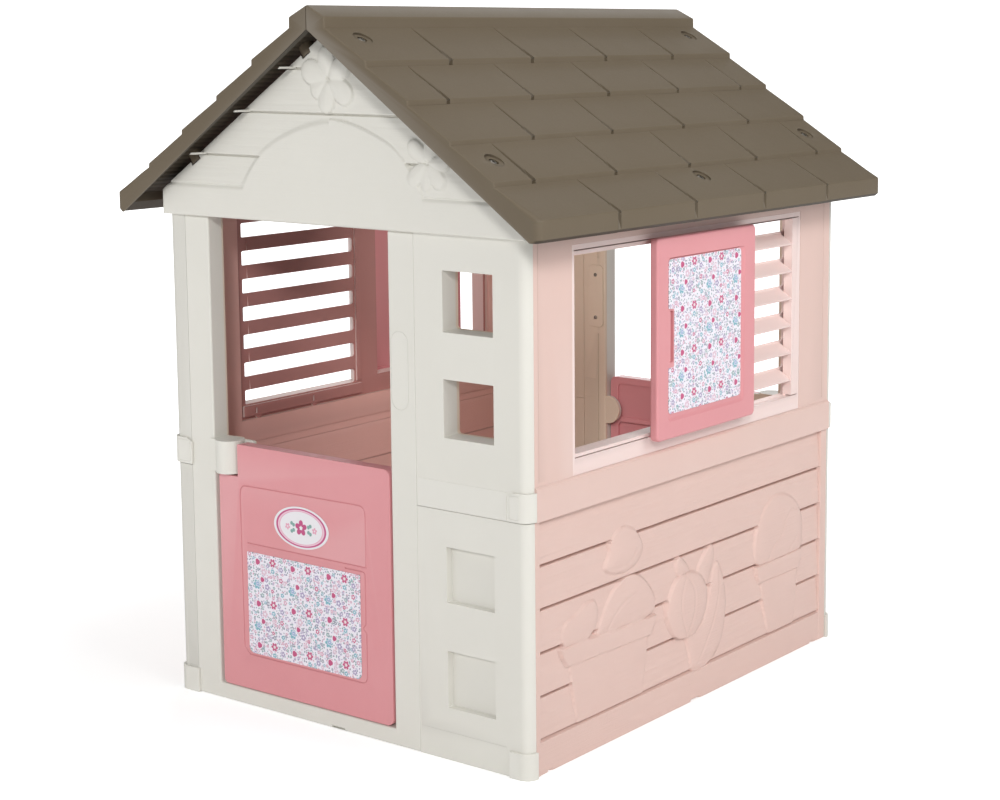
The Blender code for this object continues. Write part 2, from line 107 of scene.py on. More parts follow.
def sd_poly(px, py, poly):
    """Signed distance to a closed polygon, negative inside."""
    d = np.full(px.shape, 1e9)
    inside = np.zeros(px.shape, bool)
    for (ax, ay), (bx, by) in zip(poly, list(poly[1:]) + [poly[0]]):
        ex, ey = bx - ax, by - ay
        wx, wy = px - ax, py - ay
        t = np.clip((wx * ex + wy * ey) / (ex * ex + ey * ey + 1e-18), 0, 1)
        d = np.minimum(d, (wx - t * ex) ** 2 + (wy - t * ey) ** 2)
        if abs(ey) > 1e-12:
            cross = ((ay > py) != (by > py)) & (px < ex * (py - ay) / ey + ax)
            inside ^= cross
    d = np.sqrt(d)
    return np.where(inside, -d, d)


def sd_line(px, py, path):
    """Distance to an open path."""
    d = np.full(px.shape, 1e9)
    for (ax, ay), (bx, by) in zip(path, path[1:]):
        ex, ey = bx - ax, by - ay
        wx, wy = px - ax, py - ay
        t = np.clip((wx * ex + wy * ey) / (ex * ex + ey * ey + 1e-18), 0, 1)
        d = np.minimum(d, (wx - t * ex) ** 2 + (wy - t * ey) ** 2)
    return np.sqrt(d)


def spline(points, closed=True, n=6):
    """Catmull-Rom curve through the points."""
    pts = [np.array(p, float) for p in points]
    m = len(pts)
    out = []
    for i in range(m if closed else m - 1):
        p0 = pts[(i - 1) % m] if closed or i > 0 else 2 * pts[0] - pts[1]
        p1, p2 = pts[i], pts[(i + 1) % m]
        p3 = pts[(i + 2) % m] if closed or i + 2 < m else 2 * pts[-1] - pts[-2]
        for k in range(n):
            t = k / n
            q = 0.5 * (2 * p1 + (p2 - p0) * t + (2 * p0 - 5 * p1 + 4 * p2 - p3) * t * t
                       + (3 * p1 - p0 - 3 * p2 + p3) * t ** 3)
            out.append((float(q[0]), float(q[1])))
    if not closed:
        out.append((float(pts[-1][0]), float(pts[-1][1])))
    return out


def samples(lo, hi, coarse, *features):
    """Sample positions from lo to hi: coarse everywhere, fine around each feature (position, reach, fine)."""
    pts = [(x, 1) for x in np.linspace(lo, hi, max(2, int(round((hi - lo) / coarse)) + 1))]
    for pos, reach, fine in features:
        n = int(round(reach / fine))
        pts += [(pos + fine * i, 0) for i in range(-n, n + 1) if lo < pos + fine * i < hi]
    pts.sort()
    out = [lo]
    smallest = min([f[2] for f in features] + [coarse]) * 0.55
    for x, _ in pts:
        if x - out[-1] >= smallest and hi - x >= smallest:
            out.append(x)
    out.append(hi)
    return np.array(out)


def arc(cx, cy, r, a0, a1, n):
    return [(cx + r * math.cos(math.radians(a0 + (a1 - a0) * i / n)),
             cy + r * math.sin(math.radians(a0 + (a1 - a0) * i / n))) for i in range(n + 1)]


def round_rect(a0, b0, a1, b1, r, n=6):
    return (arc(a1 - r, b0 + r, r, -90, 0, n) + arc(a1 - r, b1 - r, r, 0, 90, n)
            + arc(a0 + r, b1 - r, r, 90, 180, n) + arc(a0 + r, b0 + r, r, 180, 270, n))


def fillet(pts, radii, n=4):
    """An open path with each inner corner rounded by its radius."""
    out = []
    for i, p in enumerate(pts):
        r = radii[i]
        if r <= 0 or i in (0, len(pts) - 1):
            out.append(p)
            continue
        a, b, c = np.array(pts[i - 1], float), np.array(p, float), np.array(pts[i + 1], float)
        u, v = (a - b) / np.linalg.norm(a - b), (c - b) / np.linalg.norm(c - b)
        ang = math.acos(max(-1, min(1, float(u @ v))))
        t = min(r / math.tan(ang / 2), 0.49 * np.linalg.norm(a - b), 0.49 * np.linalg.norm(c - b))
        for k in range(n + 1):
            s = k / n
            q = (1 - s) ** 2 * (b + u * t) + 2 * s * (1 - s) * b + s * s * (b + v * t)
            out.append((float(q[0]), float(q[1])))
    return out


# ------------------------------------------------------------------ mesh helpers
def link(name, me):
    ob = bpy.data.objects.new(name, me)
    bpy.context.scene.collection.objects.link(ob)
    return ob


def from_bm(name, bm):
    bmesh.ops.recalc_face_normals(bm, faces=bm.faces)
    me = bpy.data.meshes.new(name)
    bm.to_mesh(me)
    bm.free()
    return link(name, me)


def from_arrays(name, verts, faces):
    me = bpy.data.meshes.new(name)
    me.from_pydata([tuple(map(float, v)) for v in verts], [], [tuple(map(int, f)) for f in faces])
    me.update()
    bm = bmesh.new()
    bm.from_mesh(me)
    bmesh.ops.recalc_face_normals(bm, faces=bm.faces)
    bm.to_mesh(me)
    bm.free()
    return link(name, me)


def place(plane, a, b, h):
    if plane == "xy":
        return (a, b, h)
    if plane == "xz":
        return (a, h, b)
    return (h, a, b)


def prism(name, pts, plane, lo, hi):
    bm = bmesh.new()
    f = bm.faces.new([bm.verts.new(place(plane, p[0], p[1], lo)) for p in pts])
    up = bmesh.ops.extrude_face_region(bm, geom=[f])
    step = Vector(place(plane, 0, 0, hi)) - Vector(place(plane, 0, 0, lo))
    bmesh.ops.translate(bm, vec=step, verts=[v for v in up["geom"] if isinstance(v, bmesh.types.BMVert)])
    return from_bm(name, bm)


def block(name, x0, y0, z0, x1, y1, z1):
    return prism(name, [(x0, y0), (x1, y0), (x1, y1), (x0, y1)], "xy", z0, z1)


def rod(name, cx, cy, r, z0, z1, n=40):
    return prism(name, arc(cx, cy, r, 0, 360 - 360 / n, n - 1), "xy", z0, z1)


def tube(name, path, r, plane, h, closed=False, n=8, flat=1.0):
    """A closed tube along a path in a plane at height h: the tool that cuts a moulded line."""
    pts = [np.array(p, float) for p in path]
    m = len(pts)
    verts, faces = [], []
    for i, p in enumerate(pts):
        a = pts[(i - 1) % m] if closed or i > 0 else None
        b = pts[(i + 1) % m] if closed or i < m - 1 else None
        ta = (p - a) / np.linalg.norm(p - a) if a is not None else None
        tb = (b - p) / np.linalg.norm(b - p) if b is not None else None
        if ta is None:
            ta = tb
        if tb is None:
            tb = ta
        t = ta + tb
        t = t / np.linalg.norm(t)
        k = 1.0 / max(0.5, float(t @ ta))
        nrm = np.array((-t[1], t[0])) * k
        for j in range(n):
            c, s = math.cos(2 * math.pi * (j + 0.5) / n), math.sin(2 * math.pi * (j + 0.5) / n)
            q = p + nrm * r * c
            verts.append(place(plane, q[0], q[1], h + r * s * flat))
    for i in range(m if closed else m - 1):
        for j in range(n):
            a, b = i * n + j, i * n + (j + 1) % n
            c, d = ((i + 1) % m) * n + (j + 1) % n, ((i + 1) % m) * n + j
            faces.append((a, b, c, d))
    if not closed:
        faces.append(tuple(range(n)))
        faces.append(tuple(reversed([(m - 1) * n + j for j in range(n)])))
    return from_arrays(name, verts, faces)


def bake(ob):
    """Replaces the mesh with what its modifiers make of it."""
    graph = bpy.context.evaluated_depsgraph_get()
    new = bpy.data.meshes.new_from_object(ob.evaluated_get(graph))
    ob.modifiers.clear()
    ob.data = new
    return ob


def join(objs):
    """One mesh of several separate closed bodies, used as one boolean tool."""
    bm = bmesh.new()
    for o in objs:
        bm.from_mesh(o.data)
    name = objs[0].name
    for o in objs:
        bpy.data.objects.remove(o, do_unlink=True)
    me = bpy.data.meshes.new(name)
    bm.to_mesh(me)
    bm.free()
    return link(name + "_tool", me)


def measure(me):
    """(volume, open edges) of a mesh."""
    bm = bmesh.new()
    bm.from_mesh(me)
    vol = bm.calc_volume(signed=True) if bm.faces else 0.0
    loose = sum(1 for e in bm.edges if not e.is_manifold)
    bm.free()
    return vol, loose


def combine(target, tool, operation):
    """Boolean by whichever solver leaves a closed body of a believable volume."""
    before, _ = measure(target.data)
    extra = abs(measure(tool.data)[0])
    best = None
    for solver, nudge in (("MANIFOLD", 0.0), ("EXACT", 0.0), ("EXACT", 0.000013), ("MANIFOLD", 0.000017), ("EXACT", -0.000021)):
        tool.location = (nudge, nudge * 0.7, nudge * 0.4)
        m = target.modifiers.new("combine", "BOOLEAN")
        m.operation = operation
        m.object = tool
        m.solver = solver
        graph = bpy.context.evaluated_depsgraph_get()
        me = bpy.data.meshes.new_from_object(target.evaluated_get(graph))
        target.modifiers.clear()
        vol, loose = measure(me)
        if operation == "DIFFERENCE":
            sane = len(me.polygons) > 3 and before - extra * 1.02 - 1e-9 <= vol <= before + 1e-9
        else:
            sane = len(me.polygons) > 3 and before - 1e-9 <= vol <= before + extra * 1.02 + 1e-9
        score = (0 if sane else 1, loose)
        if best is None or score < best[0]:
            best = (score, me)
        if sane and loose == 0:
            break
    if best[0][0]:
        print("BOOLEAN DOUBTFUL", target.name, tool.name, operation, before, extra, best[0])
    elif best[0][1]:
        print("BOOLEAN OPEN", target.name, tool.name, best[0][1])
    target.data = best[1]
    bpy.data.objects.remove(tool, do_unlink=True)
    return target


def cut(target, *tools):
    for t in tools:
        combine(target, t, "DIFFERENCE")
    return target


def add(target, *tools):
    for t in tools:
        combine(target, t, "UNION")
    return target


def bevel(ob, width, segments=3, angle=32):
    m = ob.modifiers.new("bevel", "BEVEL")
    m.width = width
    m.segments = segments
    m.limit_method = "ANGLE"
    m.angle_limit = math.radians(angle)
    m.use_clamp_overlap = True
    m.miter_outer = "MITER_ARC"
    return bake(ob)


def bevel_by(ob, width, segments, weight):
    """Bevel whose width on each sharp edge is scaled by weight(middle of the edge)."""
    bm = bmesh.new()
    bm.from_mesh(ob.data)
    layer = bm.edges.layers.float.new("bevel_weight_edge")
    for e in bm.edges:
        if len(e.link_faces) == 2 and e.calc_face_angle(0) > math.radians(32):
            e[layer] = weight((e.verts[0].co + e.verts[1].co) / 2)
    bm.to_mesh(ob.data)
    bm.free()
    m = ob.modifiers.new("bevel", "BEVEL")
    m.width = width
    m.segments = segments
    m.limit_method = "WEIGHT"
    m.use_clamp_overlap = True
    return bake(ob)


def tidy(ob, merge=0.00002):
    bm = bmesh.new()
    bm.from_mesh(ob.data)
    bmesh.ops.remove_doubles(bm, verts=bm.verts, dist=merge)
    bmesh.ops.dissolve_degenerate(bm, edges=bm.edges, dist=merge)
    bm.to_mesh(ob.data)
    bm.free()
    return ob


def slab(name, us, vs, put, front, back, step=6, umap=None):
    """A closed slab: a fine front grid, a coarse back grid, and flat side faces. put(u, v, h) gives a place."""
    def grid(ua, va, height):
        U, V = np.meshgrid(ua, va, indexing="ij")
        if umap is not None:
            U = umap(U, V)
        return np.stack(put(U, V, height(U, V)), -1).reshape(-1, 3)
    iu = sorted(set(list(range(0, len(us), step)) + [len(us) - 1]))
    iv = sorted(set(list(range(0, len(vs), step)) + [len(vs) - 1]))
    F, G = grid(us, vs, front), grid(us[iu], vs[iv], back)
    nu, nv, mu, mv = len(us), len(vs), len(iu), len(iv)
    fi = np.arange(nu * nv).reshape(nu, nv)
    gi = np.arange(mu * mv).reshape(mu, mv) + nu * nv
    faces = [tuple(q) for q in np.stack([fi[:-1, :-1], fi[1:, :-1], fi[1:, 1:], fi[:-1, 1:]], -1).reshape(-1, 4)]
    faces += [tuple(q) for q in np.stack([gi[:-1, :-1], gi[:-1, 1:], gi[1:, 1:], gi[1:, :-1]], -1).reshape(-1, 4)]
    for k in range(mu - 1):
        a, b = iu[k], iu[k + 1]
        faces.append(tuple([fi[i, 0] for i in range(a, b + 1)] + [gi[k + 1, 0], gi[k, 0]]))
        faces.append(tuple([fi[i, -1] for i in range(b, a - 1, -1)] + [gi[k, -1], gi[k + 1, -1]]))
    for k in range(mv - 1):
        a, b = iv[k], iv[k + 1]
        faces.append(tuple([fi[0, i] for i in range(b, a - 1, -1)] + [gi[0, k], gi[0, k + 1]]))
        faces.append(tuple([fi[-1, i] for i in range(a, b + 1)] + [gi[-1, k + 1], gi[-1, k]]))
    return from_arrays(name, np.vstack([F, G]), faces)


def turned(source, name, slide=0.0):
    """The same piece on the opposite wall: half a turn about the vertical axis, then slid along the wall."""
    me = source.data.copy()
    me.transform(Matrix.Translation((0, slide, 0)) @ Matrix.Rotation(math.pi, 4, "Z"))
    ob = link(name, me)
    for m in source.modifiers:
        n = ob.modifiers.new(m.name, m.type)
        if m.type == "WEIGHTED_NORMAL":
            n.keep_sharp, n.weight = m.keep_sharp, m.weight
    return ob


def shade(ob, angle=38, weighted=True):
    me = ob.data
    me.polygons.foreach_set("use_smooth", [True] * len(me.polygons))
    me.set_sharp_from_angle(angle=math.radians(angle))
    if weighted:
        m = ob.modifiers.new("normals", "WEIGHTED_NORMAL")
        m.keep_sharp = True
        m.weight = 60
    return ob


OPPOSITE = {"front_left": "back_right", "front_right": "back_left"}


def stand(ob, node, mat, body="house"):
    """ob stands for a CAD node."""
    ob.data.materials.clear()
    ob.data.materials.append(mat)
    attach(ob, body)
    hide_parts(node)
    return ob


def both(ob, node, other, mat, body="house", other_body="house", slide=0.0):
    """A piece and its half-turned twin on the opposite wall."""
    twin = turned(ob, "look_" + other, slide)
    stand(ob, node, mat, body)
    stand(twin, other, mat, other_body)
    return ob, twin


# ------------------------------------------------------------------ materials
class Nodes:
    """A small builder for node trees."""

    def __init__(self, name):
        self.mat = bpy.data.materials.new(name)
        self.mat.use_nodes = True
        self.t = self.mat.node_tree
        self.bsdf = self.t.nodes["Principled BSDF"]

    def new(self, kind, **props):
        n = self.t.nodes.new(kind)
        for k, v in props.items():
            setattr(n, k, v)
        return n

    def put(self, socket, value):
        if isinstance(value, bpy.types.NodeSocket):
            self.t.links.new(value, socket)
        elif value is not None:
            socket.default_value = value

    def math(self, op, a, b=None, c=None, clamp=False):
        n = self.new("ShaderNodeMath", operation=op, use_clamp=clamp)
        for s, v in zip(n.inputs, (a, b, c)):
            self.put(s, v)
        return n.outputs[0]

    def vec(self, op, a, b=None, scale=None):
        n = self.new("ShaderNodeVectorMath", operation=op)
        self.put(n.inputs[0], a)
        if b is not None:
            self.put(n.inputs[1], b)
        if scale is not None:
            self.put(n.inputs["Scale"], scale)
        return n.outputs["Value"] if op in ("LENGTH", "DOT_PRODUCT", "DISTANCE") else n.outputs[0]

    def mix(self, fac, a, b, blend="MIX"):
        n = self.new("ShaderNodeMix", data_type="RGBA", blend_type=blend)
        self.put(n.inputs[0], fac)
        self.put(n.inputs[6], a)
        self.put(n.inputs[7], b)
        return n.outputs[2]

    def step(self, x, lo, hi):
        """0 below lo, 1 above hi, smooth between."""
        n = self.new("ShaderNodeMapRange", interpolation_type="SMOOTHSTEP")
        self.put(n.inputs[0], x)
        self.put(n.inputs[1], lo)
        self.put(n.inputs[2], hi)
        return n.outputs[0]

    def coords(self, scale=(1, 1, 1), kind="Object", move=(0, 0, 0)):
        c = self.new("ShaderNodeTexCoord")
        m = self.new("ShaderNodeMapping")
        self.put(m.inputs["Vector"], c.outputs[kind])
        m.inputs["Scale"].default_value = scale
        m.inputs["Location"].default_value = move
        return m.outputs[0]

    def noise(self, vector, scale, detail=3.0, rough=0.5, distort=0.0):
        n = self.new("ShaderNodeTexNoise")
        self.put(n.inputs["Vector"], vector)
        n.inputs["Scale"].default_value = scale
        n.inputs["Detail"].default_value = detail
        n.inputs["Roughness"].default_value = rough
        n.inputs["Distortion"].default_value = distort
        return n.outputs["Fac"]

    def bump(self, height, strength, distance, normal=None):
        n = self.new("ShaderNodeBump")
        n.inputs["Strength"].default_value = strength
        n.inputs["Distance"].default_value = distance
        self.put(n.inputs["Height"], height)
        if normal is not None:
            self.put(n.inputs["Normal"], normal)
        return n.outputs[0]


def rgba(c):
    return (c[0], c[1], c[2], 1.0)


def plastic(name, colour, rough, grain=0.0, specular=0.4, sss=0.06, mottle=0.05, fine=0.10, hollow_shade=0.35, sss_tint=None, below=0.0, inside=None, deep=0.72, inner=False):
    """Moulded plastic: leather-fine surface texture, slow colour and gloss drift, painted highlight on edges, painted
    shade in corners.
    """
    n = Nodes(name)
    p = n.coords()
    slow = n.noise(p, 3.1, 3.0, 0.55)
    mid = n.noise(p, 17.0, 4.0, 0.6)
    fine_h = n.noise(p, 900.0, 2.0, 0.5)
    pores = n.noise(p, 260.0, 2.0, 0.5)
    v = n.math("ADD", n.math("MULTIPLY", n.math("SUBTRACT", slow, 0.5), mottle * 1.1),
               n.math("MULTIPLY", n.math("SUBTRACT", mid, 0.5), mottle * 0.8))
    hsv = n.new("ShaderNodeHueSaturation")
    n.put(hsv.inputs["Color"], rgba(colour))
    n.put(hsv.inputs["Value"], n.math("ADD", 1.0, v))
    n.put(hsv.inputs["Saturation"], n.math("SUBTRACT", 1.0, n.math("MULTIPLY", v, 0.9)))
    col = hsv.outputs[0]
    geo = n.new("ShaderNodeNewGeometry")
    # painted highlight: convex edges are mixed towards a paler colour
    edge = n.step(geo.outputs["Pointiness"], 0.515, 0.60)
    # painted shade: hollows are mixed towards a darker copy of the colour
    hollow = n.step(geo.outputs["Pointiness"], 0.485, 0.41)
    pale = tuple(min(1.0, c * 0.82 + 0.18) for c in colour)
    dark = tuple(c * deep for c in colour)
    col = n.mix(n.math("MULTIPLY", edge, 0.38), col, rgba(pale))
    col = n.mix(n.math("MULTIPLY", hollow, hollow_shade), col, rgba(dark))
    if inside:
        # painted shade: the room's side of the mouldings is darkened and tinted like the room's shade and pink bounce
        # light
        place_of = n.new("ShaderNodeSeparateXYZ")
        n.put(place_of.inputs[0], p)
        in_x = n.math("SUBTRACT", 1.0, n.step(n.math("ABSOLUTE", place_of.outputs[0]), 0.3768, 0.3800))
        in_y = n.math("SUBTRACT", 1.0, n.step(n.math("ABSOLUTE", place_of.outputs[1]), 0.4600, 0.4640))
        room = n.math("MULTIPLY", in_x, in_y)
        if inner:
            # painted shade also on the faces that look inwards
            look = n.new("ShaderNodeSeparateXYZ")
            geo_in = n.new("ShaderNodeNewGeometry")
            n.put(look.inputs[0], geo_in.outputs["Normal"])
            inward = n.math("MULTIPLY", look.outputs[0], n.math("SIGN", place_of.outputs[0]))
            room = n.math("MAXIMUM", room, n.math("SUBTRACT", 1.0, n.step(inward, -0.20, -0.05)))
        col = n.mix(room, col, rgba(inside), "MULTIPLY")
    if below:
        # painted shade: faces that point down are darkened
        facing = n.new("ShaderNodeSeparateXYZ")
        n.put(facing.inputs[0], geo.outputs["True Normal"])
        down = n.step(n.math("MULTIPLY", facing.outputs[2], -1.0), 0.15, 0.55)
        col = n.mix(n.math("MULTIPLY", down, below), col, rgba(tuple(c * 0.22 for c in colour)))
    n.put(n.bsdf.inputs["Base Color"], col)
    r = n.math("ADD", rough, n.math("MULTIPLY", n.math("SUBTRACT", mid, 0.5), 0.16))
    r = n.math("ADD", r, n.math("MULTIPLY", n.math("SUBTRACT", pores, 0.5), 0.10), clamp=True)
    n.put(n.bsdf.inputs["Roughness"], r)
    n.bsdf.inputs["Specular IOR Level"].default_value = specular
    nb = n.bump(pores, fine, 0.0006)
    nb = n.bump(fine_h, fine, 0.00025, nb)
    if grain:
        g = n.coords((5.0, 5.0, 190.0))
        streak = n.noise(g, 1.0, 5.0, 0.62, 0.9)
        g2 = n.coords((14.0, 14.0, 620.0))
        hair = n.noise(g2, 1.0, 3.0, 0.6, 0.5)
        nb = n.bump(streak, 0.75 * grain, 0.0016, nb)
        nb = n.bump(hair, 0.5 * grain, 0.0006, nb)
    n.put(n.bsdf.inputs["Normal"], nb)
    if sss:
        n.bsdf.inputs["Subsurface Weight"].default_value = sss
        n.bsdf.inputs["Subsurface Radius"].default_value = sss_tint or (1.0, 0.6, 0.5)
        n.bsdf.inputs["Subsurface Scale"].default_value = 0.004
    return n.mat


CREAM = (0.715, 0.698, 0.640)
PALE = (0.712, 0.517, 0.461)
DEEP = (0.690, 0.288, 0.308)
TAUPE = (0.140, 0.110, 0.073)

# tints for the painted shade and pink bounce light inside the room
ROOM_SHADE_CREAM, ROOM_SHADE_PINK = (1.0, 0.86, 0.74), (1.0, 0.81, 0.81)
M_CREAM = plastic("cream_plastic", CREAM, 0.42, specular=0.42, sss_tint=(1.0, 0.95, 0.8), inside=ROOM_SHADE_CREAM)
# painted shade: the corner posts use a darker copy of the cream plastic
M_CREAM_SHADED = plastic("cream_plastic_shaded_post", tuple(c * 0.90 for c in CREAM), 0.42, specular=0.42, sss_tint=(1.0, 0.95, 0.8), inside=ROOM_SHADE_CREAM)
M_BOARD = plastic("cream_plastic_boarded", CREAM, 0.45, grain=0.30, specular=0.42, sss_tint=(1.0, 0.95, 0.8), inside=ROOM_SHADE_CREAM)
M_PALE = plastic("pale_pink_plastic", PALE, 0.44, specular=0.40, inside=ROOM_SHADE_PINK)
# painted light: a brighter, less saturated copy of the pale pink for the louvre frame; its room side carries painted
# shade
M_LOUVRE = plastic("pale_pink_plastic_louvre", (0.815, 0.655, 0.620), 0.44, specular=0.40, inside=(0.54, 0.31, 0.30), inner=True)
M_PLANK = plastic("pale_pink_plastic_planked", PALE, 0.46, grain=0.55, specular=0.38, inside=ROOM_SHADE_PINK, deep=0.55, hollow_shade=0.55)
M_DEEP = plastic("deep_pink_plastic", DEEP, 0.34, specular=0.45)
M_TAUPE = plastic("taupe_plastic", TAUPE, 0.52, specular=0.30, sss=0.0, mottle=0.12, fine=0.22, hollow_shade=0.85, below=0.75, deep=0.35)


def screw_metal():
    n = Nodes("screw_steel")
    p = n.coords()
    a = n.noise(p, 420.0, 4.0, 0.6)
    b = n.noise(p, 60.0, 3.0, 0.6)
    n.put(n.bsdf.inputs["Base Color"], n.mix(n.step(a, 0.35, 0.7), (0.16, 0.14, 0.11, 1), (0.42, 0.40, 0.37, 1)))
    n.bsdf.inputs["Metallic"].default_value = 0.85
    n.put(n.bsdf.inputs["Roughness"], n.math("ADD", 0.30, n.math("MULTIPLY", b, 0.3)))
    n.put(n.bsdf.inputs["Normal"], n.bump(a, 0.25, 0.0003))
    return n.mat


def lobes(n, ang, count, depth):
    """Outline factor of a flower with round petals."""
    half = n.math("MULTIPLY", n.math("ADD", 1.0, n.math("COSINE", n.math("MULTIPLY", ang, float(count)))), 0.5)
    return n.math("ADD", 1.0 - depth, n.math("MULTIPLY", n.math("POWER", half, 0.42), depth))


def floral_print():
    """White film printed with small scattered flowers, buds and leaves that repeat."""
    n = Nodes("floral_print")
    tc = n.new("ShaderNodeTexCoord")
    sep = n.new("ShaderNodeSeparateXYZ")
    n.put(sep.inputs[0], tc.outputs["Object"])
    # the print lies in x-z on the doors and in y-z on the shutters: x + y runs along both
    along = n.math("ADD", sep.outputs[0], sep.outputs[1])
    up = sep.outputs[2]
    flat = n.new("ShaderNodeCombineXYZ")
    n.put(flat.inputs[0], along)
    n.put(flat.inputs[1], up)
    uv = flat.outputs[0]
    grey, green, lilac = (0.20, 0.23, 0.30), (0.20, 0.35, 0.34), (0.36, 0.30, 0.48)
    teal, blue, rose, pink = (0.18, 0.42, 0.50), (0.24, 0.36, 0.58), (0.52, 0.075, 0.20), (0.62, 0.30, 0.42)
    white, blush = (0.82, 0.79, 0.86), (0.68, 0.48, 0.58)
    col = (*white, 1)

    def scatter(col, cell, size, petals, depth, palette, keep, seed, strength=1.0, dot=None):
        """One scatter of little shapes, one to a cell."""
        moved = n.vec("ADD", uv, (0.137 * seed, 0.071 * seed, 0))
        v = n.new("ShaderNodeTexVoronoi", voronoi_dimensions="2D", feature="F1")
        n.put(v.inputs["Vector"], moved)
        v.inputs["Scale"].default_value = 1.0 / cell
        v.inputs["Randomness"].default_value = 0.72
        s = n.new("ShaderNodeSeparateXYZ")
        n.put(s.inputs[0], n.vec("SUBTRACT", moved, v.outputs["Position"]))
        reach = n.math("SQRT", n.math("ADD", n.math("MULTIPLY", s.outputs[0], s.outputs[0]), n.math("MULTIPLY", s.outputs[1], s.outputs[1])))
        rnd = n.new("ShaderNodeSeparateColor")
        n.put(rnd.inputs[0], v.outputs["Color"])
        ang = n.math("ADD", n.math("ARCTAN2", s.outputs[1], s.outputs[0]), n.math("MULTIPLY", rnd.outputs[2], 6.283))
        edge = n.math("MULTIPLY", lobes(n, ang, petals, depth), n.math("MULTIPLY", size, n.math("ADD", 0.78, n.math("MULTIPLY", rnd.outputs[1], 0.44))))
        q = n.math("DIVIDE", reach, edge)
        mask = n.math("MULTIPLY", n.math("MULTIPLY", n.math("SUBTRACT", 1.0, n.step(q, 0.82, 1.18)), n.math("LESS_THAN", rnd.outputs[0], keep)), strength)
        ramp = n.new("ShaderNodeValToRGB")
        ramp.color_ramp.interpolation = "CONSTANT"
        cr = ramp.color_ramp
        while len(cr.elements) < len(palette):
            cr.elements.new(0.5)
        for i, c in enumerate(palette):
            cr.elements[i].position = i / len(palette)
            cr.elements[i].color = (*c, 1)
        n.put(ramp.inputs[0], n.math("FRACT", n.math("MULTIPLY", rnd.outputs[0], 17.3)))
        col = n.mix(mask, col, ramp.outputs[0])
        if dot:
            inner = n.math("MULTIPLY", n.math("SUBTRACT", 1.0, n.step(q, 0.30, 0.48)), mask)
            col = n.mix(inner, col, (*dot, 1))
        return col

    def motif(col, u0, v0, size, petals, depth, colour, heart=None, heart_size=0.0, turn=0.0, wide=0.088, tall=0.078):
        """One flower that comes back in every repeat of the print."""
        du = n.math("MULTIPLY", n.math("SUBTRACT", n.math("FRACT", n.math("ADD", n.math("DIVIDE", along, wide), 10.5 - u0)), 0.5), wide)
        dv = n.math("MULTIPLY", n.math("SUBTRACT", n.math("FRACT", n.math("ADD", n.math("DIVIDE", up, tall), 10.5 - v0)), 0.5), tall)
        reach = n.math("SQRT", n.math("ADD", n.math("MULTIPLY", du, du), n.math("MULTIPLY", dv, dv)))
        ang = n.math("ADD", n.math("ARCTAN2", dv, du), turn)
        q = n.math("DIVIDE", reach, n.math("MULTIPLY", lobes(n, ang, petals, depth), size * 1.5))
        col = n.mix(n.math("SUBTRACT", 1.0, n.step(q, 1.15, 1.42)), col, (*white, 1))
        col = n.mix(n.math("SUBTRACT", 1.0, n.step(q, 0.90, 1.10)), col, (*colour, 1))
        if heart:
            col = n.mix(n.math("SUBTRACT", 1.0, n.step(q, heart_size - 0.06, heart_size + 0.06)), col, (*heart, 1))
        return col

    col = scatter(col, 0.0056, 0.00165, 2, 0.42, (grey, green, lilac, grey, pink), 0.92, 1, 0.95)
    col = scatter(col, 0.0100, 0.00300, 5, 0.40, (green, lilac, grey, pink, teal), 0.70, 2, 0.92, (0.80, 0.77, 0.84))
    col = scatter(col, 0.0150, 0.00420, 5, 0.36, (blush, lilac, green, blush, grey), 0.50, 3, 0.85, (0.80, 0.77, 0.84))
    for spec in ((0.00, 0.00, 0.0062, 6, 0.42, teal, (0.50, 0.58, 0.74), 0.40), (0.020, 0.020, 0.0030, 5, 0.40, blue, white, 0.35),
                 (0.29, 0.98, 0.0042, 5, 0.42, lilac, white, 0.38), (0.206, 0.325, 0.0048, 5, 0.45, blush, white, 0.40),
                 (0.46, 0.38, 0.0032, 5, 0.40, teal, white, 0.38), (0.72, 0.86, 0.0030, 5, 0.40, teal, white, 0.35),
                 (0.70, 0.46, 0.0036, 5, 0.42, lilac, white, 0.38), (0.44, 0.91, 0.0026, 5, 0.40, rose, white, 0.36),
                 (0.80, 0.70, 0.0030, 5, 0.40, pink, white, 0.42), (0.69, 0.20, 0.0032, 5, 0.36, rose, white, 0.45),
                 (0.154, 0.137, 0.0034, 3, 0.22, rose), (0.03, 0.544, 0.0040, 3, 0.22, rose), (0.46, 0.582, 0.0056, 6, 0.45, rose, (0.80, 0.70, 0.72), 0.40)):
        col = motif(col, *spec)
    n.put(n.bsdf.inputs["Base Color"], col)
    p = n.coords()
    n.put(n.bsdf.inputs["Roughness"], n.math("ADD", 0.30, n.math("MULTIPLY", n.noise(p, 30.0, 3.0), 0.12)))
    n.put(n.bsdf.inputs["Normal"], n.bump(n.noise(p, 700.0, 2.0), 0.05, 0.0002))
    n.bsdf.inputs["Coat Weight"].default_value = 0.15
    n.bsdf.inputs["Coat Roughness"].default_value = 0.2
    return n.mat


